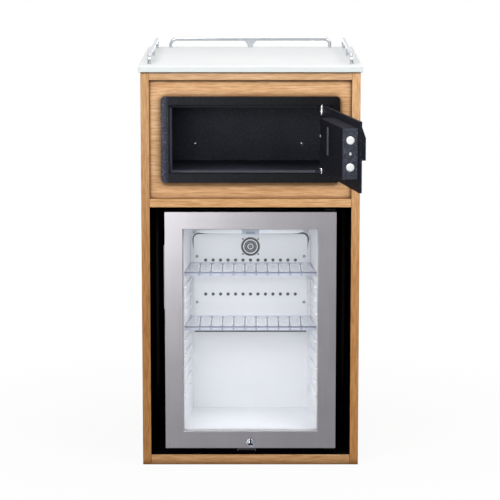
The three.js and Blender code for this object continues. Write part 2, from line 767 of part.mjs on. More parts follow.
// Shelves: clear slatted plates that rest on the liner's ribs
function shelf(rib) {
  const bottom = ribTop(rib) + seatGap;
  const top = bottom + shelfThickness;
  const front = bodyY + shelfFrontInset;
  const back = front + shelfDepth;
  const end = (y, z0) => {
    const half = cavityHalfAt(y) - shelfSideGap;
    return { x0: -half, x1: half, y, z0, z1: top };
  };
  const sheet = taperedBlock(end(front, bottom), end(back, bottom));
  const lip = taperedBlock(
    end(front - shelfLipDepth, bottom - shelfLipDrop), end(front + seatGap, bottom - shelfLipDrop));
  const usable = cavityHalfAt(back) - shelfSideGap - shelfSlotMargin;
  const slotCount = Math.floor((2 * usable - shelfSlotWidth) / shelfSlotPitch) + 1;
  const slots = [];
  for (let index = 0; index < slotCount; index += 1) {
    const x = (index - (slotCount - 1) / 2) * shelfSlotPitch;
    slots.push(block(
      x - shelfSlotWidth / 2, x + shelfSlotWidth / 2, front + shelfSlotMargin, back - shelfSlotMargin,
      bottom - overcut, top + overcut));
  }
  return cut(join(sheet, lip), ...slots);
}

place('shelf_lower', shelf(lowerShelfRib), clearPlastic);
place('shelf_upper', shelf(upperShelfRib), clearPlastic);

const lampY = bodyY + lampFrontInset;
const lampTop = cavityTop - seatGap;
place('interior_lamp', block(
  -lampWidth / 2, lampWidth / 2, lampY, lampY + lampDepth, lampTop - lampHeight, lampTop), clearPlastic);

// Air cover with two rows of holes and a round fan grille
const coverBackY = cavityBackY - seatGap;

// Round at its two upper corners, square at its foot
function coverForm(inset, y0, y1) {
  const half = coverHalf - inset;
  const foot = coverBottom + inset;
  const round = roundedBlock(half, foot, coverTop - inset, y0, y1, coverCornerRadius - inset);
  return join(round, block(-half, half, y0, y1, foot, foot + coverCornerRadius));
}

const coverBlank = coverForm(0, coverY, coverBackY);
const coverHollow = coverForm(coverWall, coverY + coverWall, coverBackY + overcut);
const through = (radius, x, z, sides) => rod(
  'y', radius, coverY - overcut, coverY + coverWall + overcut, x, z, sides);
const airHoles = [];
for (const drop of holeRowDrops) {
  for (let column = 0; column < holeColumns; column += 1) {
    const x = (column - (holeColumns - 1) / 2) * holePitch;
    airHoles.push(through(holeRadius, x, coverTop - drop, 8));
  }
}
const grilleHole = through(grilleRadius + seatGap, 0, fanZ, 24);
place('evaporator_cover', cut(coverBlank, coverHollow, grilleHole, ...airHoles), linerWhite);

function turned(profile, sides) {
  return new THREE.LatheGeometry(profile.map(([r, y]) => new THREE.Vector2(r, y)), sides);
}

function washer(inner, outer, y0, y1, sides) {
  return turned([[inner, y0], [outer, y0], [outer, y1], [inner, y1], [inner, y0]], sides);
}

const grilleRings = [];
const grillePitch = (grilleRadius - grilleRingWidth) / grilleRingCount;
for (let index = 1; index <= grilleRingCount; index += 1) {
  const inner = index * grillePitch;
  grilleRings.push(washer(inner, inner + grilleRingWidth, 0, grilleThickness, 24));
}
const grilleBar = (grilleRadius + grilleRadius - grilleRingWidth) / 2;
const grilleBars = [0, Math.PI / 2].map((turn) => block(
  -grilleBar, grilleBar, 0, grilleThickness, -grilleBarWidth / 2, grilleBarWidth / 2).rotateY(turn));
place('fan_grille', join(...grilleBars, ...grilleRings).translate(0, coverY, fanZ), linerWhite);

// Fan: an impeller on a motor that a cage holds behind the grille
const impellerY = coverY + fanSetback;
const hub = rod('y', impellerHubRadius, 0, impellerDepth, 0, 0, 18);
const blades = [];
for (let index = 0; index < impellerBlades; index += 1) {
  const bladeDepth = impellerDepth / Math.cos(THREE.MathUtils.degToRad(impellerBladeTilt)) / 2;
  const blade = block(
    impellerHubRadius - weldOverlap, impellerRadius, -bladeDepth, bladeDepth,
    -impellerBladeThickness / 2, impellerBladeThickness / 2);
  blade.rotateX(THREE.MathUtils.degToRad(impellerBladeTilt)).translate(0, impellerDepth / 2, 0);
  blades.push(blade.rotateY((index * 2 * Math.PI) / impellerBlades));
}
place('fan_impeller', join(hub, ...blades).translate(0, impellerY, fanZ), linerWhite);

const cageY = coverY + coverWall + seatGap;
const motorY = impellerY + impellerDepth + fanMotorGap;
const motorBackY = motorY + motorCanLength;
const cageInner = grilleRadius + seatGap;
const cageOuter = cageInner + fanRingWall;
const cageReach = cageOuter - weldOverlap;
const cageRing = washer(cageInner, cageOuter, cageY, cageY + fanRingWall, 24);
const motorCan = rod('y', motorCanRadius, motorY, motorBackY, 0, 0, 20);
const cageLegs = [-1, 1].map((side) => {
  const edges = [side * (cageInner + weldOverlap), side * cageReach].sort((a, b) => a - b);
  return block(...edges, cageY + weldOverlap, motorBackY, -fanRingWall / 2, fanRingWall / 2);
});
const cageBridge = block(
  -cageReach, cageReach, motorBackY - fanBridge, motorBackY + weldOverlap, -fanRingWall / 2, fanRingWall / 2);
place('fan_motor', join(cageRing, ...cageLegs, cageBridge, motorCan).translate(0, 0, fanZ), casingBlack);

// Cooling: a finned cold plate behind the cover and a finned heat sink on the back
function finned(width, height, base, depth, seatY, toward) {
  const plateY = [seatY, seatY + toward * base].sort((a, b) => a - b);
  const finY = [seatY + toward * (base - weldOverlap), seatY + toward * depth].sort((a, b) => a - b);
  const count = Math.floor((width - sinkFinThickness) / sinkFinPitch) + 1;
  const fins = [];
  for (let index = 0; index < count; index += 1) {
    const x = (index - (count - 1) / 2) * sinkFinPitch;
    fins.push(block(x - sinkFinThickness / 2, x + sinkFinThickness / 2, ...finY, 0, height));
  }
  return join(block(-width / 2, width / 2, ...plateY, 0, height), ...fins);
}

const coldSinkZ = coverTop - coldSinkDrop - coldSinkHeight;
place('cold_sink', finned(
  coldSinkWidth, coldSinkHeight, coldSinkBase, coldSinkDepth, cavityBackY - seatGap, -1)
  .translate(0, 0, coldSinkZ), aluminium);
place('cooling_block', finned(
  coolerWidth, coolerHeight, coolerBase, coolerDepth, bodyY + insulationDepth + seatGap, 1)
  .translate(0, 0, casingBottom + coolerRise), aluminium);

export default cabinet;
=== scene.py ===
"""Hotel minibar cabinet: looks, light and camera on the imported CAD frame. Metres, +Z up, front faces -Y."""

import json
import math

import bmesh
import bpy
from mathutils import Matrix, Vector

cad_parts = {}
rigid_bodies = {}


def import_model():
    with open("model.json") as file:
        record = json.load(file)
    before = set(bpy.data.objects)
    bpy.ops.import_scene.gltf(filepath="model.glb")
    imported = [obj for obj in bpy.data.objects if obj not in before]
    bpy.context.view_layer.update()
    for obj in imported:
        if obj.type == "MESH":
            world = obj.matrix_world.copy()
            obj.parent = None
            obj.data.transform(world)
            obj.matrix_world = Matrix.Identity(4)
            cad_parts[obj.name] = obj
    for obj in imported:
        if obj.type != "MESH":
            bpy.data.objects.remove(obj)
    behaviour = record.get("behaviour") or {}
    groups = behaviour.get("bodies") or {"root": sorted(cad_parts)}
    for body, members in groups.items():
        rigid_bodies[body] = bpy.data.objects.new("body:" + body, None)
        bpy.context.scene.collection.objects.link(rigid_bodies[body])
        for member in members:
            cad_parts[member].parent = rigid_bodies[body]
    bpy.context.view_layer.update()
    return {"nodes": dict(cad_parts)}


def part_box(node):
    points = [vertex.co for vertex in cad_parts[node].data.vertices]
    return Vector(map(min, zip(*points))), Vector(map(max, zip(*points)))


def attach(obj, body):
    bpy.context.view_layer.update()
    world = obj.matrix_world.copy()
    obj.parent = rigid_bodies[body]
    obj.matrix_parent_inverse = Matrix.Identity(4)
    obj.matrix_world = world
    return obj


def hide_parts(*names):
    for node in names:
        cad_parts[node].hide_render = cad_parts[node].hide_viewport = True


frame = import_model()
scene = bpy.context.scene
nodes = frame["nodes"]


def middle_of(node):
    lo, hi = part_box(node)
    return (lo + hi) / 2


# Boxes of the solids that the added pieces are placed by
plate_lo, plate_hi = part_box("safe_door_plate")
bezel_lo, bezel_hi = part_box("safe_bezel")
shell_lo, shell_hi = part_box("safe_shell")
door_lo, door_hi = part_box("fridge_door_frame")
liner_lo, liner_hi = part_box("fridge_liner")
cover_lo, cover_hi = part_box("evaporator_cover")
barrel_lo, barrel_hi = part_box("lock_barrel")
plug_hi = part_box("lock_cylinder")[1]
catch_lo, catch_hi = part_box("lock_catch")
lamp_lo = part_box("interior_lamp")[0]

# Safe door: its rest angle, and the matrix that takes the shut door, drawn from its pivot, to that angle
SAFE_ANGLE = math.radians(101.5)
SAFE_PIVOT = middle_of("safe_hinge_pin_top").xy.to_3d()
DOOR = Matrix.Translation(SAFE_PIVOT) @ Matrix.Rotation(SAFE_ANGLE, 4, "Z")
FACE_FRONT = Matrix.Rotation(math.pi / 2, 4, "X")


def in_door(node):
    """The middle of a node in the shut safe door's frame."""
    return DOOR.inverted() @ middle_of(node)


# Niche round the minibar: the faces that turn to it are matt black, each as (axis, limit, test)
NICHE_MARGIN = 0.0004
NICHE_TOP = middle_of("divider_shelf").z
NICHE_SIDE = ("x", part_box("side_right")[0].x + NICHE_MARGIN, "LESS_THAN")
NICHE_CEILING = ("z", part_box("divider_shelf")[0].z + NICHE_MARGIN, "LESS_THAN")
NICHE_FLOOR = ("z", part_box("bottom_panel")[1].z - NICHE_MARGIN, "GREATER_THAN")
NICHE_BACK = ("y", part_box("back_panel")[0].y + NICHE_MARGIN, "LESS_THAN")

# Minibar door: painted shade turns black what looks up from above this height
DOOR_TOP_SHADE = door_hi.z - 0.0105


# Meshes
def add(name, mesh, body, material, replaces=()):
    """Adds one piece: it rides on a body, takes a finish slot and may stand for CAD nodes."""
    mesh.name = name
    obj = bpy.data.objects.new(name, mesh)
    scene.collection.objects.link(obj)
    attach(obj, body)
    if replaces:
        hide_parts(*replaces)
    mesh.materials.append(material)


def turns(count):
    """Equal steps of a full turn."""
    return [2 * math.pi * i / count for i in range(count)]


def quarter(steps):
    """Equal steps of a quarter turn, with both ends."""
    return [i / steps * math.pi / 2 for i in range(steps + 1)]


def mesh_from(points, faces, smooth_angle=35.0, place=None):
    """A mesh with outward normals, smooth but for edges sharper than smooth_angle."""
    mesh = bpy.data.meshes.new("piece")
    bm = bmesh.new()
    made = [bm.verts.new(place @ Vector(p) if place else p) for p in points]
    for face in faces:
        bm.faces.new([made[i] for i in face])
    bmesh.ops.remove_doubles(bm, verts=bm.verts, dist=1e-7)
    bmesh.ops.recalc_face_normals(bm, faces=bm.faces)
    limit = math.radians(smooth_angle)
    for face in bm.faces:
        face.smooth = True
    for edge in bm.edges:
        if len(edge.link_faces) != 2 or edge.calc_face_angle(0.0) > limit:
            edge.smooth = False
    bm.to_mesh(mesh)
    bm.free()
    return mesh


def lofts(parts, wrap=False, **kw):
    """Skins lists of equal rings of points in one mesh, closed at both ends or, with wrap, into a ring."""
    points, faces = [], []
    for rings in parts:
        start, count, total = len(points), len(rings[0]), len(rings)
        points += [p for ring in rings for p in ring]
        for r in range(total if wrap else total - 1):
            here, after = start + r * count, start + (r + 1) % total * count
            for i in range(count):
                j = (i + 1) % count
                faces.append((here + i, here + j, after + j, after + i))
        if not wrap:
            faces.append(tuple(range(start, start + count)))
            faces.append(tuple(range(len(points) - count, len(points))))
    return mesh_from(points, faces, **kw)


def loft(rings, **kw):
    return lofts([rings], **kw)


def lathe(profile, axis, at, sides, place=None):
    """Turns (radius, height) points about an axis through at; a closed profile makes a ring."""
    ring_like = profile[0] == profile[-1]
    spin = {
        "x": lambda c, s, h: (h, c, s),
        "y": lambda c, s, h: (c, h, -s),
        "z": lambda c, s, h: (c, s, h),
    }[axis]
    rings = []
    for radius, height in profile[:-1] if ring_like else profile:
        spots = [spin(radius * math.cos(t), radius * math.sin(t), height) for t in turns(sides)]
        rings.append([Vector(spot) + Vector(at) for spot in spots])
    return lofts([rings], wrap=ring_like, place=place)


def rounded_rect(half_w, half_h, radius, steps=6):
    points = []
    for corner, (side, up) in enumerate(((1, 1), (-1, 1), (-1, -1), (1, -1))):
        for step in quarter(steps):
            turn = corner * math.pi / 2 + step
            points.append((side * (half_w - radius) + radius * math.cos(turn),
                           up * (half_h - radius) + radius * math.sin(turn)))
    return points


def bars(name, boxes, material):
    """Adds round-edged straight bars as one piece: each box is (x0, x1, y0, y1, z0, z1)."""
    pairs = []
    for x0, x1, y0, y1, z0, z1 in boxes:
        spans = [(x0, x1), (y0, y1), (z0, z1)]
        half = [(high - low) / 2 for low, high in spans]
        run = half.index(max(half))
        a, b = [k for k in range(3) if k != run]
        ends = []
        for end in spans[run]:
            outline = []
            for p, q in rounded_rect(half[a], half[b], min(half) * 0.6, 3):
                point = [end, end, end]
                point[a] = sum(spans[a]) / 2 + p
                point[b] = sum(spans[b]) / 2 + q
                outline.append(point)
            ends.append(outline)
        pairs.append(ends)
    add(name, lofts(pairs, smooth_angle=50), "cabinet", material)


def screw(name, body, place, radius, height, material):
    """A pan-head screw whose head rises along the place's +Z, with a cross recess."""
    rings = []
    for wide, high, crossed in ((1.0, 0.0, False), (1.0, 0.45, False), (0.9, 0.8, False), (0.6, 1.0, False),
                                (0.5, 1.0, True), (0.34, 0.55, True)):
        ring = []
        for t in turns(32):
            reach = radius * wide * (0.55 + 0.75 * abs(math.cos(2 * t)) ** 3 if crossed else 1.0)
            ring.append((reach * math.cos(t), reach * math.sin(t), height * high))
        rings.append(ring)
    add(name, loft(rings, smooth_angle=40, place=place), body, material)


# Materials
def srgb(*levels):
    """A colour given in 0 to 255, as linear light."""
    shares = [level / 255 for level in levels]
    return tuple(c / 12.92 if c <= 0.04045 else ((c + 0.055) / 1.055) ** 2.4 for c in shares)


class Nodes:
    """Short ways to add nodes to a tree. Colours are (red, green, blue)."""

    def __init__(self, tree):
        self.tree = tree

    def node(self, kind, settings=(), **inputs):
        made = self.tree.nodes.new("ShaderNode" + kind)
        for key, value in dict(settings).items():
            setattr(made, key, value)
        for key, value in inputs.items():
            self.feed(made.inputs[key.replace("_", " ")], value)
        return made

    def feed(self, socket, value):
        if isinstance(value, bpy.types.NodeSocket):
            self.tree.links.new(value, socket)
        elif socket.type == "RGBA":
            socket.default_value = (*value, 1.0)
        else:
            socket.default_value = value

    def levels(self, value, lo, hi, to_lo=0.0, to_hi=1.0):
        return self.node("MapRange", Value=value, From_Min=lo, From_Max=hi, To_Min=to_lo,
                         To_Max=to_hi).outputs["Result"]


class Paint(Nodes):
    """A Principled material and what its looks are mixed from."""

    def __init__(self, name, **sockets):
        self.mat = bpy.data.materials.new(name)
        self.mat.use_nodes = True
        super().__init__(self.mat.node_tree)
        self.shader = self.tree.nodes["Principled BSDF"]
        self.set(**sockets)
        places = self.node("TexCoord").outputs
        self.coords = places["Object"]
        self.facing = places["Normal"]

    def set(self, **sockets):
        for key, value in sockets.items():
            self.feed(self.shader.inputs[key.replace("_", " ")], value)

    def along(self, axis):
        """How far a point lies along one axis."""
        return self.node("SeparateXYZ", Vector=self.coords).outputs[axis.upper()]

    def upward(self):
        """How far a face looks up."""
        return self.node("SeparateXYZ", Vector=self.facing).outputs["Z"]

    def stretch(self, scale, offset=(0, 0, 0)):
        return self.node("Mapping", Vector=self.coords, Scale=scale, Location=offset).outputs["Vector"]

    def noise(self, vector, scale, detail=2.0, rough=0.5, twist=0.0):
        return self.node("TexNoise", Vector=vector, Scale=scale, Detail=detail, Roughness=rough,
                         Distortion=twist).outputs["Fac"]

    def ramp(self, value, stops):
        made = self.node("ValToRGB", Fac=value)
        elements = made.color_ramp.elements
        while len(elements) < len(stops):
            elements.new(0.5)
        for element, (at, colour) in zip(elements, stops):
            element.position = at
            element.color = (*colour, 1.0)
        return made.outputs["Color"]

    def spread(self, noise, to_lo=0.0, to_hi=1.0):
        """Stretches the middle of a noise, where most of it lies."""
        return self.levels(noise, 0.3, 0.7, to_lo, to_hi)

    def drift(self, scale):
        """A slow change of tone."""
        return self.spread(self.noise(self.coords, scale))

    def math(self, operation, a, b=0.0):
        made = self.node("Math", {"operation": operation})
        self.feed(made.inputs[0], a)
        self.feed(made.inputs[1], b)
        return made.outputs["Value"]

    def weighted(self, first, share, second):
        """A share of the first value and the rest of the second."""
        rest = self.math("MULTIPLY", second, 1.0 - share)
        return self.math("ADD", self.math("MULTIPLY", first, share), rest)

    def mix(self, factor, a, b, blend="MIX"):
        made = self.node("Mix", {"data_type": "RGBA", "blend_type": blend})
        self.feed(made.inputs["Factor"], factor)
        self.feed(made.inputs[6], a)
        self.feed(made.inputs[7], b)
        return made.outputs[2]

    def times(self, colour, by):
        return self.mix(1.0, colour, by, "MULTIPLY")

    def end_cap(self, colour, above):
        """Painted shade: black on the faces that look up from above a height, as on the top of the minibar
        door.
        """
        if above is None:
            return colour
        up = self.levels(self.upward(), 0.1, 0.4)
        high = self.math("GREATER_THAN", self.along("z"), above)
        return self.mix(self.math("MULTIPLY", up, high), colour, (0.0015, 0.0015, 0.0018))

    def bump(self, height, strength, distance=0.0004):
        made = self.node("Bump", Height=height, Strength=strength, Distance=distance)
        self.feed(self.shader.inputs["Normal"], made.outputs["Normal"])


def oak(name, along, shift, tint=(1, 1, 1), niche_black=None, shaded_low=False):
    """Oiled oak: broad tone, growth lines, fine streaks and short pores along one axis."""
    p = Paint(name, Specular_IOR_Level=0.06)

    def grain(run, across, detail, rough, twist=0.0):
        scale = [run if axis == along else across for axis in "xyz"]
        return p.noise(p.stretch(scale, shift), 1.0, detail, rough, twist)

    broad = grain(run=0.9, across=7.0, detail=2.0, rough=0.5, twist=0.8)
    lines = grain(run=8.0, across=190.0, detail=4.0, rough=0.66, twist=0.7)
    streak = grain(run=26.0, across=360.0, detail=3.0, rough=0.6, twist=0.2)
    pores = grain(run=34.0, across=1300.0, detail=2.0, rough=0.5)
    colour = p.ramp(p.weighted(broad, 0.35, lines), [
        (0.30, srgb(191, 139, 90)), (0.44, srgb(214, 166, 118)),
        (0.56, srgb(225, 180, 134)), (0.72, srgb(234, 195, 151))])
    colour = p.mix(p.levels(streak, 0.42, 0.64, 0.0, 0.6), colour, srgb(178, 124, 74))
    colour = p.mix(p.levels(pores, 0.60, 0.72, 0.0, 0.38), colour, srgb(150, 101, 62))
    colour = p.times(colour, tint)
    # Painted shade: darker in the joints and recesses that ambient occlusion finds
    recess_shade = p.node("AmbientOcclusion", {"samples": 8}, Distance=0.020).outputs["AO"]
    colour = p.mix(p.levels(recess_shade, 0.50, 0.92, 0.78, 0.0), colour, srgb(92, 56, 30))
    if shaded_low:
        # Painted shade: the two upright boards run darker and redder towards the floor
        low = p.levels(p.along("z"), 0.40, 0.88, 1.0, 0.0)
        colour = p.mix(low, colour, p.times(colour, (0.80, 0.66, 0.48)))
    rough = p.spread(lines, 0.46, 0.56)
    if niche_black:
        axis, limit, test = niche_black
        value = p.along(axis)
        if axis == "x":
            value = p.math("ABSOLUTE", value)
        mask = p.math("MULTIPLY", p.math(test, value, limit), p.math("LESS_THAN", p.along("z"), NICHE_TOP))
        black = p.ramp(lines, [(0.3, (0.0004, 0.0004, 0.0004)), (0.7, (0.0016, 0.0016, 0.0016))])
        colour = p.mix(mask, colour, black)
        rough = p.math("ADD", rough, p.math("MULTIPLY", mask, 0.42))
    p.set(Base_Color=colour, Roughness=rough)
    p.bump(p.math("ADD", p.math("MULTIPLY", pores, 0.5), streak), 0.18)
    return p.mat


def powder_coat(name, low, high, rough, gloss=0.3, speck=5.0, face=None, drift=()):
    """Fine textured powder coat with pale flecks; face is (direction, low, high) for a tone on the faces that
    look that way.

    Each drift is (x0, x1, level at x0, level at x1), painted light that brightens and dims the coat across
    the width.
    """
    p = Paint(name, Specular_IOR_Level=gloss)
    grain = p.noise(p.coords, 330.0, detail=3.0, rough=0.7)
    fleck = p.levels(p.noise(p.coords, 400.0, detail=1.0), 0.55, 0.68, 0.0, 0.8)
    blend = p.levels(p.weighted(grain, 0.7, p.noise(p.coords, 9.0)), 0.35, 0.65)
    colour = p.mix(blend, low, high)
    if face:
        direction, face_low, face_high = face
        turned = p.node("VectorMath", {"operation": "DOT_PRODUCT"})
        p.feed(turned.inputs[0], p.facing)
        p.feed(turned.inputs[1], direction)
        colour = p.mix(p.levels(turned.outputs["Value"], 0.7, 0.9), colour, p.mix(blend, face_low, face_high))
    for x0, x1, level0, level1 in drift:
        colour = p.times(colour, p.levels(p.along("x"), x0, x1, level0, level1))
    p.set(Base_Color=p.mix(fleck, colour, p.times(colour, (speck, speck, speck * 1.04))),
          Roughness=p.spread(grain, rough - 0.06, rough + 0.08))
    p.bump(grain, 0.35, 0.0006)
    return p.mat


def metal(name, colour, rough, depth, brush=None, metallic=1.0, top_shade_height=None):
    """Plated or brushed metal; brush stretches the scratches along one axis."""
    p = Paint(name, Metallic=metallic)
    scale = [420.0] * 3
    if brush:
        scale = [9.0 if axis == brush else 1500.0 for axis in "xyz"]
    scratch = p.noise(p.stretch(scale), 1.0, detail=4.0, rough=0.65)
    shade = p.spread(p.weighted(scratch, 0.6, p.noise(p.coords, 14.0)), 0.90, 1.05)
    p.set(Base_Color=p.end_cap(p.times(colour, shade), top_shade_height),
          Roughness=p.spread(scratch, rough * 0.82, rough * 1.2))
    p.bump(scratch, depth, 0.0003)
    return p.mat


def plastic(name, low, high, rough, peel=260.0, depth=0.06, top_shade_height=None, **sockets):
    """Moulded plastic: a slight orange peel and a soft drift of tone."""
    p = Paint(name, **sockets)
    skin = p.noise(p.coords, peel)
    p.set(Base_Color=p.end_cap(p.mix(p.drift(5.0), low, high), top_shade_height),
          Roughness=p.spread(skin, rough - 0.04, rough + 0.05))
    p.bump(skin, depth)
    return p.mat


def laminate(name, low, high, edge):
    """Matt white counter with a greyer band of painted shade round its edge."""
    p = Paint(name, Specular_IOR_Level=0.25)
    skin = p.noise(p.coords, 900.0)
    top = p.mix(p.drift(5.0), low, high)
    p.set(Base_Color=p.mix(p.levels(p.upward(), 0.5, 0.9), edge, top), Roughness=p.spread(skin, 0.44, 0.54))
    p.bump(skin, 0.02)
    return p.mat


def hollow_plastic(name, dark_lo, dark_hi, low, high):
    """White plastic with painted shade within a box, so that what lies behind the air holes reads as deep."""
    p = Paint(name)
    inside = 1.0
    for axis, lowest, highest in zip("xyz", dark_lo, dark_hi):
        for test, limit in (("GREATER_THAN", lowest), ("LESS_THAN", highest)):
            inside = p.math("MULTIPLY", p.math(test, p.along(axis), limit), inside)
    skin = p.noise(p.coords, 240.0)
    p.set(Base_Color=p.mix(inside, p.mix(p.drift(5.0), low, high), (0.010, 0.011, 0.016)),
          Roughness=p.spread(skin, 0.3, 0.4))
    p.bump(skin, 0.03)
    return p.mat


def grille_rings(name, centre_z, bands):
    """The grille's pale rings on its dark bars: each band is (inner radius, outer radius, paleness)."""
    p = Paint(name, Roughness=0.45)
    x = p.along("x")
    rise = p.math("SUBTRACT", p.along("z"), centre_z)
    radius = p.math("SQRT", p.math("ADD", p.math("MULTIPLY", x, x), p.math("MULTIPLY", rise, rise)))
    pale = 0.0
    for inner, outer, paleness in bands:
        band = p.math("MULTIPLY", p.math("GREATER_THAN", radius, inner), p.math("LESS_THAN", radius, outer))
        pale = p.math("ADD", p.math("MULTIPLY", band, paleness), pale)
    cloud = p.noise(p.coords, 90.0)
    dark_bar = p.mix(cloud, (0.006, 0.0065, 0.010), (0.014, 0.015, 0.022))
    pale_ring = p.mix(cloud, (0.84, 0.85, 0.90), (0.92, 0.93, 0.97))
    p.set(Base_Color=p.mix(pale, dark_bar, pale_ring))
    p.bump(p.noise(p.coords, 300.0), 0.04)
    return p.mat


def clear_sheet(name, low, high, edge, alpha_face, alpha_edge):
    """Clear moulded plastic: nearly clear through its faces, tinted and denser at its cut edges."""
    p = Paint(name, Roughness=0.14)
    upright = p.math("SUBTRACT", 1.0, p.math("ABSOLUTE", p.upward()))
    p.set(Base_Color=p.mix(upright, p.mix(p.drift(40.0), low, high), edge),
          Alpha=p.levels(upright, 0.2, 0.9, alpha_face, alpha_edge))
    p.bump(p.noise(p.coords, 120.0), 0.02)
    return p.mat


# Cabinet finishes; the right upright board's lighter, paler tint than the left's is a painted sheen
boards = {
    oak("oak_left", "z", (0.3, 0.1, 0.0), (0.94, 0.94, 0.92), NICHE_SIDE, shaded_low=True): ["side_left"],
    oak("oak_right", "z", (4.7, 1.3, 2.1), (1.12, 1.15, 1.18), NICHE_SIDE, shaded_low=True): ["side_right"],
    oak("oak_top", "x", (1.1, 0.7, 3.3), (1.07, 1.18, 1.38)): ["top_panel"],
    oak("oak_fascia", "x", (0.4, 5.1, 0.2), (1.14, 1.19, 1.28)): ["safe_fascia"],
    oak("oak_divider", "x", (7.2, 2.0, 1.4), (1.10, 1.09, 1.04), NICHE_CEILING): ["divider_shelf"],
    oak("oak_bottom", "x", (2.5, 3.1, 6.0), (0.99, 0.96, 0.90), NICHE_FLOOR): ["bottom_panel"],
    oak("oak_back", "z", (9.1, 0.2, 4.4), niche_black=NICHE_BACK): ["back_panel", "safe_platform"],
}
m_counter = laminate("counter_surface", (0.82, 0.835, 0.84), (0.85, 0.865, 0.87), edge=(0.755, 0.795, 0.795))
m_chrome = metal("chrome_bright", (0.64, 0.665, 0.70), 0.2, depth=0.01)

# Safe finishes; a painted sheen pales the bezel's left end and painted shade darkens it to the right, and the
# lock cover's end face is paler
FREE_END = DOOR.to_3x3() @ Vector((-1.0, 0.0, 0.0))
m_powder = powder_coat("powder_black", (0.007, 0.0078, 0.0115), (0.015, 0.0166, 0.0230), 0.55, gloss=0.05)
m_bezel = powder_coat("powder_bezel", (0.003, 0.0034, 0.0052), (0.010, 0.0108, 0.0150), 0.46, gloss=0.16,
                      speck=4.5, drift=((-0.205, -0.190, 6.5, 1.0), (-0.15, 0.20, 1.0, 0.3)))
m_powder_inner = powder_coat("powder_inner", (0.048, 0.051, 0.070), (0.110, 0.116, 0.152), 0.55, gloss=0.2,
                             speck=1.6)
m_powder_lip = powder_coat("powder_lip", (0.030, 0.033, 0.042), (0.055, 0.059, 0.074), 0.5, speck=1.4)
m_slot_lit_wall = powder_coat("powder_slot_lit_wall", (0.080, 0.088, 0.112), (0.122, 0.133, 0.167), 0.5, speck=1.2)
m_powder_cover = powder_coat("powder_cover", (0.006, 0.0066, 0.0100), (0.013, 0.0144, 0.0200), 0.58,
                             gloss=0.03, speck=2.6,
                             face=(FREE_END, (0.018, 0.020, 0.028), (0.082, 0.088, 0.111)))
m_zinc = metal("zinc_plate", (0.70, 0.71, 0.73), 0.28, depth=0.04)
m_bright = metal("bright_steel", (0.93, 0.93, 0.94), 0.22, depth=0.02)
m_bolt = metal("satin_nickel", (0.97, 0.97, 0.97), 0.34, depth=0.02, metallic=0.15)
m_key = plastic("key_cap", (0.22, 0.225, 0.24), (0.27, 0.275, 0.29), 0.5, peel=700.0, depth=0.05)
m_print = plastic("key_print", (0.75, 0.75, 0.76), (0.82, 0.82, 0.83), 0.5)
m_display = plastic("display_window", (0.004, 0.005, 0.006), (0.012, 0.014, 0.016), 0.12, peel=200.0,
                    depth=0.0)
m_dark = plastic("dark_recess", (0.003, 0.003, 0.004), (0.008, 0.008, 0.009), 0.8, peel=300.0, depth=0.05,
                 Specular_IOR_Level=0.1)

# Minibar door finishes
m_steel = metal("brushed_steel", (0.437, 0.421, 0.458), 0.345, depth=0.06, brush="z", top_shade_height=DOOR_TOP_SHADE)
m_lock = metal("lock_chrome", (0.62, 0.66, 0.74), 0.36, depth=0.02)
m_black_steel = metal("black_steel", (0.035, 0.037, 0.042), 0.45, depth=0.05)
m_glass = plastic("door_glass", (0.86, 0.92, 0.94), (0.90, 0.95, 0.96), 0.06, peel=20.0, depth=0.0,
                  Alpha=0.05)
m_door_white = plastic("door_liner_plastic", (0.84, 0.85, 0.87), (0.88, 0.89, 0.91), 0.36, peel=240.0,
                       depth=0.03, top_shade_height=DOOR_TOP_SHADE)
m_gasket = plastic("gasket_vinyl", (0.66, 0.67, 0.69), (0.74, 0.75, 0.77), 0.55, peel=300.0, depth=0.05)

# Minibar finishes; painted shade darkens the hollow within the air cover and the liner's wall behind it
LINER_LOW, LINER_HIGH = (0.82, 0.832, 0.862), (0.86, 0.872, 0.90)
COVER_SKIN = Vector((0.0045, 0.0009, 0.0045))
COVER_REACH = Vector((0.0, 0.02, 0.0))
m_white = plastic("liner_plastic", LINER_LOW, LINER_HIGH, 0.34, peel=240.0, depth=0.03)
m_cover = hollow_plastic("cover_plastic", cover_lo + COVER_SKIN, cover_hi - COVER_SKIN + COVER_REACH,
                         LINER_LOW, LINER_HIGH)
m_clear = clear_sheet("clear_plastic", (0.60, 0.63, 0.74), (0.72, 0.75, 0.86), edge=(0.50, 0.53, 0.66),
                      alpha_face=0.20, alpha_edge=0.55)
m_clear_rib = plastic("clear_rib", (0.08, 0.092, 0.15), (0.20, 0.22, 0.30), 0.2, peel=60.0, depth=0.02,
                      Alpha=0.85)
m_lamp = plastic("lamp_cover", (0.58, 0.63, 0.74), (0.68, 0.73, 0.83), 0.2, peel=400.0, depth=0.05,
                 Emission_Color=(0.72, 0.82, 1.0), Emission_Strength=0.10)
m_lamp_window = plastic("lamp_window", (0.36, 0.43, 0.57), (0.44, 0.51, 0.65), 0.2, peel=400.0, depth=0.05)
m_casing = plastic("casing_black", (0.0012, 0.0012, 0.0014), (0.003, 0.003, 0.0033), 0.8, peel=500.0,
                   depth=0.08, Specular_IOR_Level=0.02)
m_foam = plastic("foam_rigid", (0.60, 0.50, 0.30), (0.68, 0.58, 0.38), 0.9, peel=160.0, depth=0.3)
m_rubber = plastic("rubber_foot", (0.26, 0.27, 0.29), (0.34, 0.35, 0.38), 0.75, peel=420.0, depth=0.12)
m_shade = plastic("cover_seal_grey", (0.022, 0.024, 0.034), (0.050, 0.054, 0.070), 0.7, peel=200.0,
                  depth=0.05)
m_alu = metal("aluminium_fin", (0.62, 0.64, 0.66), 0.38, depth=0.05, brush="z")
m_cold = metal("anodised_fin", (0.020, 0.021, 0.025), 0.5, depth=0.05, brush="z")
FAN_Z = middle_of("fan_grille").z
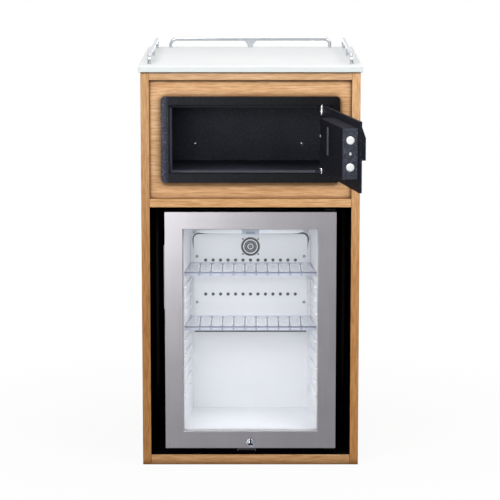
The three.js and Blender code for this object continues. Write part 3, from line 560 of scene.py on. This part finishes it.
m_grille = grille_rings("grille_plastic", FAN_Z, (
    (0.0, 0.0044, 0.20), (0.0051, 0.0077, 0.85), (0.0102, 0.0128, 0.25), (0.0153, 0.0180, 1.0),
    (0.0186, 0.0300, 0.04)))

# CAD nodes: finishes
keys = [name for name in nodes if name.startswith("key_")]
finishes = {
    **boards, m_counter: ["countertop"],
    m_chrome: ["gallery_rail_left", "gallery_rail_right", "gallery_rail_back", "lock_barrel",
               "lock_cylinder"],
    m_powder_inner: ["safe_shell"], m_bezel: ["safe_bezel"], m_powder: ["safe_door_plate", "keypad_housing"],
    m_powder_cover: ["safe_lock_cover"], m_zinc: ["safe_lock_motor", "safe_bolt_bar"],
    m_bright: ["safe_hinge_pin_top", "safe_hinge_pin_bottom"], m_bolt: ["safe_bolt_upper", "safe_bolt_lower"],
    m_key: keys, m_steel: ["fridge_door_frame"], m_glass: ["fridge_door_glass"],
    m_door_white: ["fridge_door_liner"], m_gasket: ["fridge_door_gasket"], m_dark: ["lock_catch"],
    m_black_steel: ["hinge_bracket_top", "hinge_bracket_bottom"], m_foam: ["fridge_insulation"],
    m_casing: ["fridge_casing", "fan_impeller", "fan_motor"], m_cover: ["fridge_liner", "evaporator_cover"],
    m_rubber: ["fridge_rear_skid", "fridge_foot_left", "fridge_foot_right"], m_lamp: ["interior_lamp"],
    m_clear: ["shelf_lower", "shelf_upper"], m_grille: ["fan_grille"], m_cold: ["cold_sink"],
    m_alu: ["cooling_block"],
}
for material, names in finishes.items():
    for name in names:
        nodes[name].data.materials.clear()
        nodes[name].data.materials.append(material)

# CAD nodes: softened edges, by width
soft_edges = {
    0.0004: ["cooling_block"],
    0.0005: ["lock_catch"],
    0.0006: ["safe_fascia", "hinge_bracket_top", "hinge_bracket_bottom"],
    0.0008: ["side_left", "side_right", "top_panel", "divider_shelf", "bottom_panel", "shelf_lower",
             "shelf_upper"],
    0.0009: ["safe_door_plate", "fridge_door_frame", "evaporator_cover"],
    0.0012: ["safe_lock_cover", "keypad_housing", *keys],
    0.0015: ["fridge_door_liner"],
    0.0016: ["fridge_door_gasket"],
    0.0020: ["countertop", "fridge_rear_skid"],
    0.0022: ["safe_bezel"],
    0.0030: ["interior_lamp"],
}


def soften(node, width):
    """Joins what meets, merges flat faces and rounds the edges between them."""
    weld = node.modifiers.new("weld", "WELD")
    weld.merge_threshold = 1e-5
    flat = node.modifiers.new("flat_faces", "DECIMATE")
    flat.decimate_type = "DISSOLVE"
    flat.angle_limit = math.radians(0.5)
    bevel = node.modifiers.new("soft_edge", "BEVEL")
    bevel.width = width
    bevel.segments = 3
    bevel.limit_method = "ANGLE"
    bevel.angle_limit = math.radians(40)
    bevel.harden_normals = True


for width, names in soft_edges.items():
    for name in names:
        soften(nodes[name], width)

# Gallery rails: bent chrome rod with a flared post midway
RAIL_RADIUS = 0.0045
RAIL_BEND = 0.014
POST_WIDE, POST_FLARE = 0.006, 0.013
POST_THICK, POST_SWELL = 0.0036, 0.0008


def rail(name, node, along):
    lo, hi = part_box(node)
    axis = "xyz".index(along)
    half = (hi[axis] - lo[axis]) / 2 - RAIL_RADIUS
    foot, top = lo.z, hi.z - RAIL_RADIUS
    forward = Vector((1, 0, 0)) if along == "x" else Vector((0, 1, 0))
    side = Vector((0, 0, 1)).cross(forward)
    base = middle_of(node).xy.to_3d()

    def at(run, height):
        return base + forward * run + Vector((0, 0, height))

    path = [(-half, foot), (-half, (foot + top - RAIL_BEND) / 2)]
    for turn in quarter(12):
        path.append((-half + RAIL_BEND * (1 - math.cos(turn)), top - RAIL_BEND * (1 - math.sin(turn))))
    path += [(-run, height) for run, height in reversed(path)]
    rings = []
    for i, (run, height) in enumerate(path):
        before, after = path[max(i - 1, 0)], path[min(i + 1, len(path) - 1)]
        heading = (forward * (after[0] - before[0]) + Vector((0, 0, after[1] - before[1]))).normalized()
        across = side.cross(heading)
        rings.append([at(run, height) + (side * math.cos(t) + across * math.sin(t)) * RAIL_RADIUS
                      for t in turns(24)])
    add(name, loft(rings, smooth_angle=50), "cabinet", m_chrome, [node])
    post_rings = []
    for i in range(13):
        rise = i / 12
        wide = POST_WIDE + POST_FLARE * rise ** 1.7
        thick = POST_THICK + POST_SWELL * rise
        spot = at(0, foot + (top - foot) * rise)
        post_rings.append([spot + forward * wide * math.cos(t) + side * thick * math.sin(t)
                           for t in turns(28)])
    add(name + "_post", loft(post_rings, smooth_angle=60), "cabinet", m_chrome)


for end, along in (("left", "y"), ("right", "y"), ("back", "x")):
    rail("rail_" + end, "gallery_rail_" + end, along)

# Safe: the pale lip round its mouth, which stays open on the hinge side
DOOR_GAP, MOUTH_SIDE, HINGE_CLEAR = 0.0018, 0.0185, 0.0152
LIP, LIP_GROOVE, LIP_BULGE, LIP_STEPS = 0.005, 0.0022, 0.12, 8
LIP_FRONT, LIP_BACK = bezel_lo.y + 0.0065, bezel_hi.y - 0.0001


def lip_bar(name, *ends):
    """One mitred bar that slopes from the mouth back to the door stop; an end is two (x, z) corners."""
    sections = []
    for (outer_x, outer_z), (inner_x, inner_z) in ends:
        front = Vector((outer_x, LIP_FRONT, outer_z))
        back = Vector((inner_x, LIP_BACK, inner_z))
        behind = Vector((outer_x, LIP_BACK, outer_z))
        middle = (front + back) / 2
        sections.append([front, middle + (middle - behind) * LIP_BULGE, back, behind])
    rings = [[a.lerp(b, i / LIP_STEPS) for a, b in zip(*sections)] for i in range(LIP_STEPS + 1)]
    add(name, loft(rings, smooth_angle=70), "cabinet", m_powder_lip)


left, right = bezel_lo.x + MOUTH_SIDE + LIP_GROOVE, SAFE_PIVOT.x - HINGE_CLEAR
low, high = plate_lo.z - DOOR_GAP + LIP_GROOVE, plate_hi.z + DOOR_GAP - LIP_GROOVE
low_corner = ((left, low), (left + LIP, low + LIP))
high_corner = ((left, high), (left + LIP, high - LIP))
lip_bar("safe_lip_bottom", low_corner, ((right, low), (right, low + LIP)))
lip_bar("safe_lip_top", high_corner, ((right, high), (right, high - LIP)))
lip_bar("safe_lip_left", low_corner, high_corner)

# Safe: anchor screws in the back wall
SHELL_WALL, ANCHOR_RISE = 0.003, 0.045
for side, x in (("left", -0.1377), ("right", 0.1278)):
    spot = Matrix.Translation((x, shell_hi.y - SHELL_WALL, shell_lo.z + ANCHOR_RISE)) @ FACE_FRONT
    screw("safe_anchor_" + side, "cabinet", spot, radius=0.0048, height=0.0035, material=m_bright)

# Safe: hinge pins, and the door's collared sleeves on them
PIN_RADIUS, PIN_BEVEL = 0.0020, 0.0008
SLEEVE_BORE, SLEEVE_RADIUS, COLLAR_RADIUS = 0.0024, 0.0042, 0.0062
SLEEVE_BEVEL, SLEEVE_STEP, SLEEVE_GAP = 0.0006, 0.0004, 0.0002
SLEEVE_TOP, SLEEVE_BOTTOM = 0.0220, 0.0140
for end in ("top", "bottom"):
    name, node = "hinge_pin_" + end, "safe_hinge_pin_" + end
    lo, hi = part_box(node)
    profile = [(PIN_RADIUS - PIN_BEVEL, lo.z), (PIN_RADIUS, lo.z + PIN_BEVEL), (PIN_RADIUS, hi.z - PIN_BEVEL),
               (PIN_RADIUS - PIN_BEVEL, hi.z)]
    add(name, lathe(profile, "z", SAFE_PIVOT, 24), "cabinet", m_bright, [node])
for end, foot, length, rise in (("top", plate_hi.z - SLEEVE_GAP - SLEEVE_TOP, SLEEVE_TOP, 0.0070),
                                ("bottom", plate_lo.z + SLEEVE_GAP, SLEEVE_BOTTOM, 0.0075)):
    name = "hinge_sleeve_" + end
    head, collar = foot + length, foot + rise
    profile = [(SLEEVE_BORE, foot), (SLEEVE_RADIUS - SLEEVE_STEP, foot), (SLEEVE_RADIUS, foot + SLEEVE_BEVEL),
               (SLEEVE_RADIUS, collar), (COLLAR_RADIUS, collar + 0.0012), (COLLAR_RADIUS, collar + 0.0040),
               (SLEEVE_RADIUS, collar + 0.0052), (SLEEVE_RADIUS, head - SLEEVE_BEVEL),
               (SLEEVE_RADIUS - SLEEVE_STEP, head), (SLEEVE_BORE, head), (SLEEVE_BORE, foot)]
    add(name, lathe(profile, "z", SAFE_PIVOT, 32), "safe_door", m_bright)

# Safe: round bolts, at distances from the pivot along the shut door, with a slightly dished end
BOLT_TIP, BOLT_TAIL, BOLT_LINE = 0.3444, 0.2864, 0.016
BOLT_BEVEL = 0.001
for end in ("upper", "lower"):
    name, node = "bolt_" + end, "safe_bolt_" + end
    lo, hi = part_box(node)
    radius = (hi.z - lo.z) / 2
    profile = [(0.0004, 0.0004 - BOLT_TIP), (0.0030, 0.0003 - BOLT_TIP), (0.0072, -BOLT_TIP),
               (0.0083, 0.0004 - BOLT_TIP), (radius, 0.0013 - BOLT_TIP), (radius, -BOLT_TAIL - BOLT_BEVEL),
               (radius - BOLT_BEVEL, -BOLT_TAIL)]
    at = (0, BOLT_LINE, middle_of(node).z)
    add(name, lathe(profile, "x", at, 48, DOOR), "safe_bolts", m_bolt, [node])

# Lock cover: a screw between the bolts, and a rivet and a long slot on the inner face; the slot is a dark
# sheet of painted shade beside a pale strip of painted light for its lit wall
COVER_END, COVER_FACE = 0.3414, 0.0340
LOCK_COVER_Z = middle_of("safe_lock_cover").z
COVER_SLOT_Z, RIVET_Z, RIVET_X = LOCK_COVER_Z + 0.0123, LOCK_COVER_Z + 0.0163, -0.131
COVER_SLOT_CORNER = 0.004
THIN = 0.0001
end_face = Matrix.Translation((-COVER_END, BOLT_LINE, LOCK_COVER_Z)) @ Matrix.Rotation(-math.pi / 2, 4, "Y")
screw("lock_cover_screw", "safe_door", DOOR @ end_face, radius=0.0034, height=0.0018, material=m_bright)
inner_face = Matrix.Translation((RIVET_X, COVER_FACE, RIVET_Z)) @ Matrix.Rotation(-math.pi / 2, 4, "X")
screw("lock_cover_rivet", "safe_door", DOOR @ inner_face, radius=0.0030, height=0.0016, material=m_rubber)
for name, x, half_x, half_z, proud, material in (
        ("lock_cover_slot_shade", -0.207, 0.0145, 0.0335, 0.0004, m_dark),
        ("lock_cover_slot_wall", -0.203, 0.0075, 0.0320, 0.0008, m_slot_lit_wall)):
    rings = []
    for out, inset in ((THIN, 0.0), (proud - THIN, 0.0), (proud, THIN)):
        outline = rounded_rect(half_x - inset, half_z - inset, COVER_SLOT_CORNER)
        rings.append([(x + a, COVER_FACE + out, COVER_SLOT_Z + b) for a, b in outline])
    add(name, loft(rings, place=DOOR, smooth_angle=45), "safe_door", material)

# Keypad: the display window on its sloping head, with round corners and a rolled front edge
WINDOW_DROP, WINDOW_OUT, WINDOW_SLOPE = 0.0125, 0.0168, math.radians(-19.8)
WINDOW_W, WINDOW_H, WINDOW_CORNER, WINDOW_ROLL = 0.060, 0.0065, 0.002, 0.0012
WINDOW_BACK, WINDOW_FRONT = 0.0043, -0.0006
window_spot = (in_door("keypad_housing").x, -WINDOW_OUT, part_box("keypad_housing")[1].z - WINDOW_DROP)
window_place = DOOR @ Matrix.Translation(window_spot) @ Matrix.Rotation(WINDOW_SLOPE, 4, "X")
rows = [(0.0, WINDOW_BACK)]
for turn in quarter(4):
    rows.append((WINDOW_ROLL * (1 - math.cos(turn)), WINDOW_FRONT + WINDOW_ROLL * (1 - math.sin(turn))))
rings = [[(x, y, z) for x, z in rounded_rect(WINDOW_W - inset, WINDOW_H - inset, WINDOW_CORNER - inset)]
         for inset, y in rows]
add("keypad_window", loft(rings, place=window_place, smooth_angle=50), "safe_door", m_display)

# Keypad: figures and signs on the keys
PLATE_FRONT, KEYPAD_DEPTH, KEY_RISE = 0.0073, 0.014, 0.0018
KEY_FRONT = -PLATE_FRONT - KEYPAD_DEPTH - KEY_RISE
FIGURE_SIZE, FIGURE_DEPTH, SIGN_DEPTH = 0.0105, 0.00012, 0.0002
for figure in "1234567890":
    key = "key_" + figure
    spot = in_door(key)
    words = bpy.data.curves.new("figure_" + key, "FONT")
    words.body = figure
    words.size = FIGURE_SIZE
    words.extrude = FIGURE_DEPTH
    words.align_x = "CENTER"
    words.align_y = "CENTER"
    words.materials.append(m_print)
    mark = bpy.data.objects.new("figure_" + key, words)
    mark.matrix_world = DOOR @ Matrix.Translation((spot.x, KEY_FRONT - THIN, spot.z)) @ FACE_FRONT
    scene.collection.objects.link(mark)
    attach(mark, key)


def key_sign(name, key, strokes):
    """Raised strokes on a key: each is (x, z, half length, half width, turn)."""
    spot = in_door(key)
    pairs = []
    for x, z, half_length, half_width, turn in strokes:
        c, s = math.cos(turn), math.sin(turn)
        outline = [(spot.x + x + a * c - b * s, spot.z + z + a * s + b * c)
                   for a, b in rounded_rect(half_length, half_width, half_width * 0.98, 4)]
        pairs.append([[(a, KEY_FRONT + depth, b) for a, b in outline] for depth in (SIGN_DEPTH, -SIGN_DEPTH)])
    add(name, lofts(pairs, smooth_angle=40, place=DOOR), key, m_print)


key_sign("mark_clear", "key_clear", [(0, 0, 0.0045, 0.0006, turn) for turn in (math.pi / 4, -math.pi / 4)])
key_sign("mark_lock", "key_lock", [
    (0, -0.0022, 0.0034, 0.0022, 0), (0, 0.0040, 0.0027, 0.0005, 0),
    (-0.0022, 0.0016, 0.0026, 0.0005, math.pi / 2), (0.0022, 0.0016, 0.0026, 0.0005, math.pi / 2)])

# Minibar lock: barrel ring with an index mark, and the turning plug with its keyway and tongue
LOCK_Z = middle_of("lock_barrel").z
LOCK_AXIS = (0, 0, LOCK_Z)
LOCK_FRONT, LOCK_BACK = barrel_lo.y, barrel_hi.y
BARREL_RADIUS, BARREL_BORE = barrel_hi.x, 0.0066
PLUG_FACE, PLUG_RADIUS = LOCK_FRONT + 0.0009, 0.0062
barrel = [(BARREL_BORE, LOCK_FRONT + 0.0011), (0.0072, LOCK_FRONT + 0.0001), (0.0092, LOCK_FRONT),
          (0.0102, LOCK_FRONT + 0.0005), (BARREL_RADIUS, LOCK_FRONT + 0.0013), (BARREL_RADIUS, LOCK_BACK),
          (BARREL_BORE, LOCK_BACK), (BARREL_BORE, LOCK_FRONT + 0.0011)]
add("lock_ring", lathe(barrel, "y", LOCK_AXIS, 48), "fridge_door", m_lock, ["lock_barrel"])
plug = [(0.0004, PLUG_FACE), (0.0048, PLUG_FACE), (0.0060, PLUG_FACE + 0.0008),
        (PLUG_RADIUS, PLUG_FACE + 0.0018), (PLUG_RADIUS, plug_hi.y)]
add("lock_plug_face", lathe(plug, "y", LOCK_AXIS, 40), "lock_plug", m_lock, ["lock_cylinder"])

TONGUE_THICK, TONGUE_WIDE = 0.002, 0.0045
tongue = []
for x, grow in ((0.004, 0.0), (plug_hi.x - 0.0020, 0.0), (plug_hi.x - 0.0005, -0.0008), (plug_hi.x, -0.0020)):
    outline = rounded_rect(TONGUE_THICK + grow * 0.3, TONGUE_WIDE + grow, 0.0006)
    tongue.append([(x, plug_hi.y - TONGUE_THICK + a, LOCK_Z + b) for a, b in outline])
add("lock_tongue", loft(tongue, smooth_angle=45), "lock_plug", m_zinc)

# Minibar lock: the keyway filled with a dark block of painted shade, and a dark index mark on the ring, as
# (x, z) points about its axis
KEYWAY = ((-0.0015, 0.0060), (-0.0016, -0.0004), (-0.0056, -0.0018), (-0.0042, -0.0046), (0.0042, -0.0046),
          (0.0056, -0.0018), (0.0016, -0.0004), (0.0015, 0.0060))
INDEX_MARK = ((-0.0017, 0.0067), (-0.0008, 0.0102), (0.0008, 0.0102), (0.0017, 0.0067))
for name, body, outline, front, back in (
        ("lock_keyway_shade", "lock_plug", KEYWAY, PLUG_FACE - 0.0002, PLUG_FACE + 0.0021),
        ("lock_ring_mark", "fridge_door", INDEX_MARK, LOCK_FRONT - 0.0002, LOCK_FRONT + 0.0010)):
    rings = [[(x, y, LOCK_Z + z) for x, z in outline] for y in (front, back)]
    add(name, loft(rings), body, m_dark)

# Lock catch: a grey edge with two short legs
CATCH_EDGE_Y = (catch_lo.y - 0.0006, catch_lo.y + 0.0002)
CATCH_EDGE_Z = (catch_hi.z - 0.0045, catch_hi.z - 0.0022)
CATCH_LEG_Z = (catch_hi.z - 0.0075, catch_hi.z - 0.0045)
CATCH_LEG = 0.0014
bars("catch_edge", [(catch_lo.x, catch_hi.x, *CATCH_EDGE_Y, *CATCH_EDGE_Z),
                    (catch_lo.x, catch_lo.x + CATCH_LEG, *CATCH_EDGE_Y, *CATCH_LEG_Z),
                    (catch_hi.x - CATCH_LEG, catch_hi.x, *CATCH_EDGE_Y, *CATCH_LEG_Z)],
     m_rubber)

# Pull strip on the free edge of the minibar door, tapered at both ends
PULL_LOW, PULL_HIGH, PULL_TAPER = door_lo.z + 0.3375, door_hi.z - 0.0795, 0.0012
PULL_FRONT, PULL_BACK, PULL_BEVEL = door_lo.y + 0.0010, door_hi.y - 0.0075, 0.0010
PULL_ROOT, PULL_EDGE, PULL_OUT = door_lo.x + 0.0010, door_lo.x - 0.0012, door_lo.x - 0.0020
pull_strip = []
for z, inset in ((PULL_LOW, PULL_TAPER), (PULL_LOW + 0.002, 0.0), (PULL_LOW + 0.003, 0.0),
                 (PULL_HIGH - 0.003, 0.0), (PULL_HIGH - 0.002, 0.0), (PULL_HIGH, PULL_TAPER)):
    edge, out = PULL_EDGE + inset, PULL_OUT + inset
    pull_strip.append([(PULL_ROOT, PULL_FRONT, z), (edge, PULL_FRONT, z), (out, PULL_FRONT + PULL_BEVEL, z),
                       (out, PULL_BACK - PULL_BEVEL, z), (edge, PULL_BACK, z), (PULL_ROOT, PULL_BACK, z)])
add("door_pull_strip", loft(pull_strip, smooth_angle=30), "fridge_door", m_steel)

# Front feet: turned rubber with a narrower neck
FOOT_NECK = 0.0104
for side in ("left", "right"):
    name, node = "foot_" + side, "fridge_foot_" + side
    lo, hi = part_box(node)
    profile = [(0.0095, lo.z), (0.0118, lo.z + 0.0006), ((hi.x - lo.x) / 2, lo.z + 0.0025),
               (0.0126, lo.z + 0.0060), (FOOT_NECK, lo.z + 0.0072), (FOOT_NECK, hi.z)]
    at = middle_of(node).xy.to_3d()
    add(name, lathe(profile, "z", at, 40), "cabinet", m_rubber, [node])

# Screws of the air cover and of the fan grille
SCREW_X, SCREW_Z = cover_hi.x - 0.008, (cover_hi.z - 0.055, cover_lo.z + 0.071)
GRILLE_SCREW = 0.0186
cover_spots = [(side * SCREW_X, z) for z in SCREW_Z for side in (-1, 1)]
grille_spots = [(side * GRILLE_SCREW, FAN_Z + up * GRILLE_SCREW) for up in (-1, 1) for side in (-1, 1)]
for kind, spots, radius, height, material in (("cover", cover_spots, 0.0036, 0.0018, m_rubber),
                                              ("grille", grille_spots, 0.0021, 0.0011, m_black_steel)):
    for i, (x, z) in enumerate(spots):
        spot = Matrix.Translation((x, cover_lo.y, z)) @ FACE_FRONT
        screw(f"{kind}_screw_{i + 1}", "cabinet", spot, radius, height, material)

# Shelves: a tinted front edge, short ribs on the lip and a rod along each slot
SLOT_PITCH, SLOT_COUNT, SLOT_MARGIN = 0.027, 10, 0.012
RIB_HALF, ROD_HALF, EDGE_INSET = 0.0013, 0.0016, 0.0005
slots = [(i - (SLOT_COUNT - 1) / 2) * SLOT_PITCH for i in range(SLOT_COUNT)]
for level in ("upper", "lower"):
    shelf = "shelf_" + level
    lo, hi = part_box(shelf)
    edge = [(lo.x + EDGE_INSET, hi.x - EDGE_INSET, lo.y - 0.0008, lo.y + 0.0020, hi.z - 0.0030,
             hi.z + 0.0003)]
    ribs = [(x - RIB_HALF, x + RIB_HALF, lo.y - 0.0006, lo.y + 0.0010, lo.z + 0.0012, hi.z - 0.0032)
            for x in slots]
    rods = [(x - ROD_HALF, x + ROD_HALF, lo.y + SLOT_MARGIN, hi.y - SLOT_MARGIN, hi.z - 0.0034, hi.z - 0.0008)
            for x in slots]
    for part, boxes in (("edge", edge), ("lip_ribs", ribs), ("rods", rods)):
        bars(f"{shelf}_{part}", boxes, m_clear_rib)

# Air holes: a dark disc of painted shade over each
HOLE_COLUMNS, HOLE_PITCH, HOLE_RADIUS = 13, 0.0183, 0.0040
HOLE_ROWS = (cover_hi.z - 0.0645, cover_lo.z + 0.091)
SHADE_DISC_Y = (cover_lo.y - 0.0003, cover_lo.y - 0.00005)
discs = []
for z in HOLE_ROWS:
    for column in range(HOLE_COLUMNS):
        x = (column - (HOLE_COLUMNS - 1) / 2) * HOLE_PITCH
        discs.append([[(x + HOLE_RADIUS * math.cos(t), y, z + HOLE_RADIUS * math.sin(t)) for t in turns(20)]
                      for y in SHADE_DISC_Y])
add("air_hole_shade", lofts(discs), "cabinet", m_shade)

# Air cover: a dark strip of painted shade round its upper corners, as (x, z, width) points from left to right
COVER_CORNER, SHADE_RUN, SHADE_DEPTH, SHADE_GAP = 0.013, 0.024, 0.0036, 0.0001
SHADE_NEAR = cover_lo.y + 0.0004
half, top = cover_hi.x, cover_hi.z
bend_x, bend_z = half - COVER_CORNER, top - COVER_CORNER


def shade_half(side, corner_width):
    points = [(side * half, bend_z - SHADE_RUN, 0.0004), (side * half, bend_z - SHADE_RUN / 2, 0.0014)]
    for turn in quarter(8):
        x, z = bend_x + COVER_CORNER * math.cos(turn), bend_z + COVER_CORNER * math.sin(turn)
        points.append((side * x, z, corner_width))
    return points + [(side * (bend_x - SHADE_RUN / 2), top, 0.0014), (side * (bend_x - SHADE_RUN), top, 0.0006)]


path = shade_half(-1, 0.0026) + [(0.0, top, 0.0002)] + shade_half(1, 0.0040)[::-1]
rings = []
for i, (x, z, wide) in enumerate(path):
    before, after = path[max(i - 1, 0)], path[min(i + 1, len(path) - 1)]
    along = Vector((after[0] - before[0], 0.0, after[1] - before[1])).normalized()
    out = Vector((-along.z, 0.0, along.x))
    spot = Vector((x, 0.0, z)) + out * SHADE_GAP
    far = SHADE_NEAR + min(SHADE_DEPTH, wide * 1.2)
    rings.append([spot + Vector((0, y, 0)) + out * w
                  for y, w in ((SHADE_NEAR, 0.0), (SHADE_NEAR, wide), (far, wide), (far, 0.0))])
add("cover_corner_shade", loft(rings), "cabinet", m_shade)

# Air cover: a dark bar of painted shadow along its foot
bars("cover_foot_shade", [(cover_lo.x + 0.002, cover_hi.x - 0.002, SHADE_NEAR, SHADE_NEAR + SHADE_DEPTH,
                          cover_lo.z - 0.0042, cover_lo.z - 0.0002)], m_shade)

# Air cover: white strips that close the wedge to the liner's tapering walls, round its upper corners
STRIP_GAP, STRIP_REACH = 0.0002, 0.0074
STRIP_Y = (cover_lo.y + 0.0042, cover_lo.y + 0.0058)
STRIP_BEND = COVER_CORNER + STRIP_GAP
outline = [(half + STRIP_GAP, cover_lo.z), (half + STRIP_REACH, cover_lo.z),
           (half + STRIP_REACH, top + STRIP_GAP)]
for turn in quarter(8)[::-1]:
    outline.append((bend_x + STRIP_BEND * math.cos(turn), bend_z + STRIP_BEND * math.sin(turn)))
for name, side in (("cover_strip_left", -1), ("cover_strip_right", 1)):
    rings = [[(side * x, y, z) for x, z in outline] for y in STRIP_Y]
    add(name, loft(rings), "cabinet", m_white)

# A dark strip of painted shade over the top of the liner's flange, and the lamp's darker window
WINDOW_HALF = 0.0105
bars("flange_shade_strip", [(liner_lo.x, liner_hi.x, liner_lo.y - 0.0005, liner_lo.y - 0.0001, liner_hi.z - 0.008,
                      liner_hi.z)], m_casing)
bars("lamp_window", [(-WINDOW_HALF, WINDOW_HALF, lamp_lo.y - 0.0004, lamp_lo.y + 0.0002, lamp_lo.z + 0.0030,
                      lamp_lo.z + 0.0085)], m_lamp_window)


# Floor: near white to the camera, with a faint shadow, and grey for the light that it throws back
def floor_paint():
    p = Paint("floor_pale", Roughness=0.9)
    rays = p.node("LightPath").outputs
    mottle = p.noise(p.coords, 3.0)
    thrown = p.mix(mottle, (0.29, 0.29, 0.29), (0.31, 0.31, 0.31))
    seen = p.mix(mottle, (0.80, 0.80, 0.80), (0.83, 0.83, 0.83))
    p.set(Base_Color=p.mix(rays["Is Camera Ray"], thrown, seen))
    glow = p.node("Emission", Color=(1, 1, 1), Strength=p.levels(rays["Is Glossy Ray"], 0.0, 1.0, 1.0, 0.42))
    away = p.node("VectorMath", {"operation": "LENGTH"}, Vector=p.coords).outputs["Value"]
    share = p.math("MULTIPLY", rays["Is Camera Ray"], p.levels(away, 0.45, 1.1, 0.93, 1.0))
    share = p.math("MAXIMUM", share, p.math("MAXIMUM", rays["Is Glossy Ray"], rays["Is Transmission Ray"]))
    blend = p.node("MixShader", Fac=share)
    p.feed(blend.inputs[1], p.shader.outputs["BSDF"])
    p.feed(blend.inputs[2], glow.outputs["Emission"])
    p.feed(p.tree.nodes["Material Output"].inputs["Surface"], blend.outputs["Shader"])
    return p.mat


FLOOR_HALF = 40.0
floor_mesh = bpy.data.meshes.new("floor")
bm = bmesh.new()
bmesh.ops.create_grid(bm, x_segments=8, y_segments=8, size=FLOOR_HALF)
bm.to_mesh(floor_mesh)
bm.free()
floor_mesh.materials.append(floor_paint())
floor = bpy.data.objects.new("floor", floor_mesh)
scene.collection.objects.link(floor)

# Backdrop: white to the camera, plain for soft light, and dimmer on the camera's side for reflections
SKY_SOFT, SKY_FRONT = 0.25, 0.45
scene.world = bpy.data.worlds.new("studio")
scene.world.use_nodes = True
sky = Nodes(scene.world.node_tree)
rays = sky.node("LightPath").outputs
toward = sky.node("SeparateXYZ", Vector=sky.node("TexCoord").outputs["Generated"]).outputs["Y"]
mirrored = sky.levels(toward, -0.9, 0.2, SKY_FRONT, 1.0)
level = sky.levels(rays["Is Glossy Ray"], 0.0, 1.0, SKY_SOFT, mirrored)
for ray in ("Is Transmission Ray", "Is Camera Ray"):
    level = sky.levels(rays[ray], 0.0, 1.0, level, 1.0)
backdrop = sky.tree.nodes["Background"].inputs
sky.feed(backdrop["Color"], (1, 1, 1))
sky.feed(backdrop["Strength"], level)

# The open safe door casts no shadow of the key lights, as in the photograph
SPARED = ("safe_door", "safe_lock", "keypad", "key_", "bolt_", "lock_cover")
spared_door = bpy.data.collections.new("safe_door_no_shadow")
for obj in scene.objects:
    if obj.type == "MESH" and obj.name.startswith(SPARED):
        spared_door.objects.link(obj)
for item in spared_door.collection_objects:
    item.light_linking.link_state = "EXCLUDE"


# Lights
def softbox(name, place, target, width, height, watts, colour=(1, 1, 1), soft=True, sheen=True, spared=False):
    """A flat lamp aimed at a target; soft and sheen say whether matt faces and reflections show it."""
    light = bpy.data.lights.new(name, "AREA")
    light.shape = "RECTANGLE"
    light.size = width
    light.size_y = height
    light.energy = watts
    light.color = colour
    lamp = bpy.data.objects.new(name, light)
    lamp.location = place
    lamp.rotation_euler = (Vector(target) - Vector(place)).to_track_quat("-Z", "Y").to_euler()
    lamp.visible_diffuse = soft
    lamp.visible_glossy = sheen
    if spared:
        lamp.light_linking.blocker_collection = spared_door
    scene.collection.objects.link(lamp)


def bulb(name, place, watts, radius=0.04):
    """A small round lamp that neither the camera nor a reflection shows."""
    light = bpy.data.lights.new(name, "POINT")
    light.energy = watts
    light.shadow_soft_size = radius
    lamp = bpy.data.objects.new(name, light)
    lamp.location = place
    lamp.visible_camera = False
    lamp.visible_glossy = False
    scene.collection.objects.link(lamp)


softbox("key_left", (-0.75, -1.7, 2.1), (0.0, -0.3, 0.75), 0.9, 0.7, watts=22.5, spared=True)
softbox("key_right", (1.15, -1.55, 2.0), (0.0, -0.3, 0.75), 0.9, 0.7, watts=20.5, spared=True)
softbox("overhead", (0.0, 0.15, 2.1), (0.0, 0.15, 0.9), 1.0, 0.8, watts=5)
softbox("front_fill", (-0.3, -3.2, 1.25), (0.0, -0.3, 0.8), 0.8, 0.4, watts=13, sheen=False)
softbox("sheen_left", (-0.70, -2.6, 0.5), (-0.1, -0.29, 0.6), 0.72, 0.54, watts=14,
        colour=(0.995, 1.0, 0.965), soft=False)
softbox("back_fill", (0.7, 2.6, 0.62), (0.0, 0.29, 0.5), 1.4, 0.5, watts=16)
# Light within the minibar: a glow just behind its glass, its lamp above the air cover, and small bulbs
COOL = (0.985, 0.985, 1.0)
softbox("minibar_glow", (0.0, -0.268, 0.310), (0.0, 0.0, 0.310), 0.29, 0.42, watts=0.265, colour=COOL)
softbox("minibar_lamp", (0.0, -0.062, 0.562), (0.0, -0.062, 0.0), 0.27, 0.05, watts=0.034, colour=COOL)
bulb("minibar_bulb_left", (-0.075, -0.215, 0.47), watts=0.062)
bulb("minibar_bulb_right", (0.065, -0.215, 0.47), watts=0.042)
bulb("minibar_bulb_low", (-0.02, -0.235, 0.23), watts=0.035)

# Camera: far in front and higher than the counter
EYE_DISTANCE, EYE_HEIGHT, EYE_TILT = 5.5, 1.431, math.radians(80.6)
camera = bpy.data.objects.new("camera", bpy.data.cameras.new("camera"))
camera.data.sensor_width = 36.0
camera.data.lens = 170.2
camera.data.shift_x = -0.001
camera.location = (0.0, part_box("side_left")[0].y - EYE_DISTANCE, EYE_HEIGHT)
camera.rotation_euler = (EYE_TILT, 0.0, 0.0)
scene.collection.objects.link(camera)
scene.camera = camera
scene.view_settings.view_transform = "Standard"
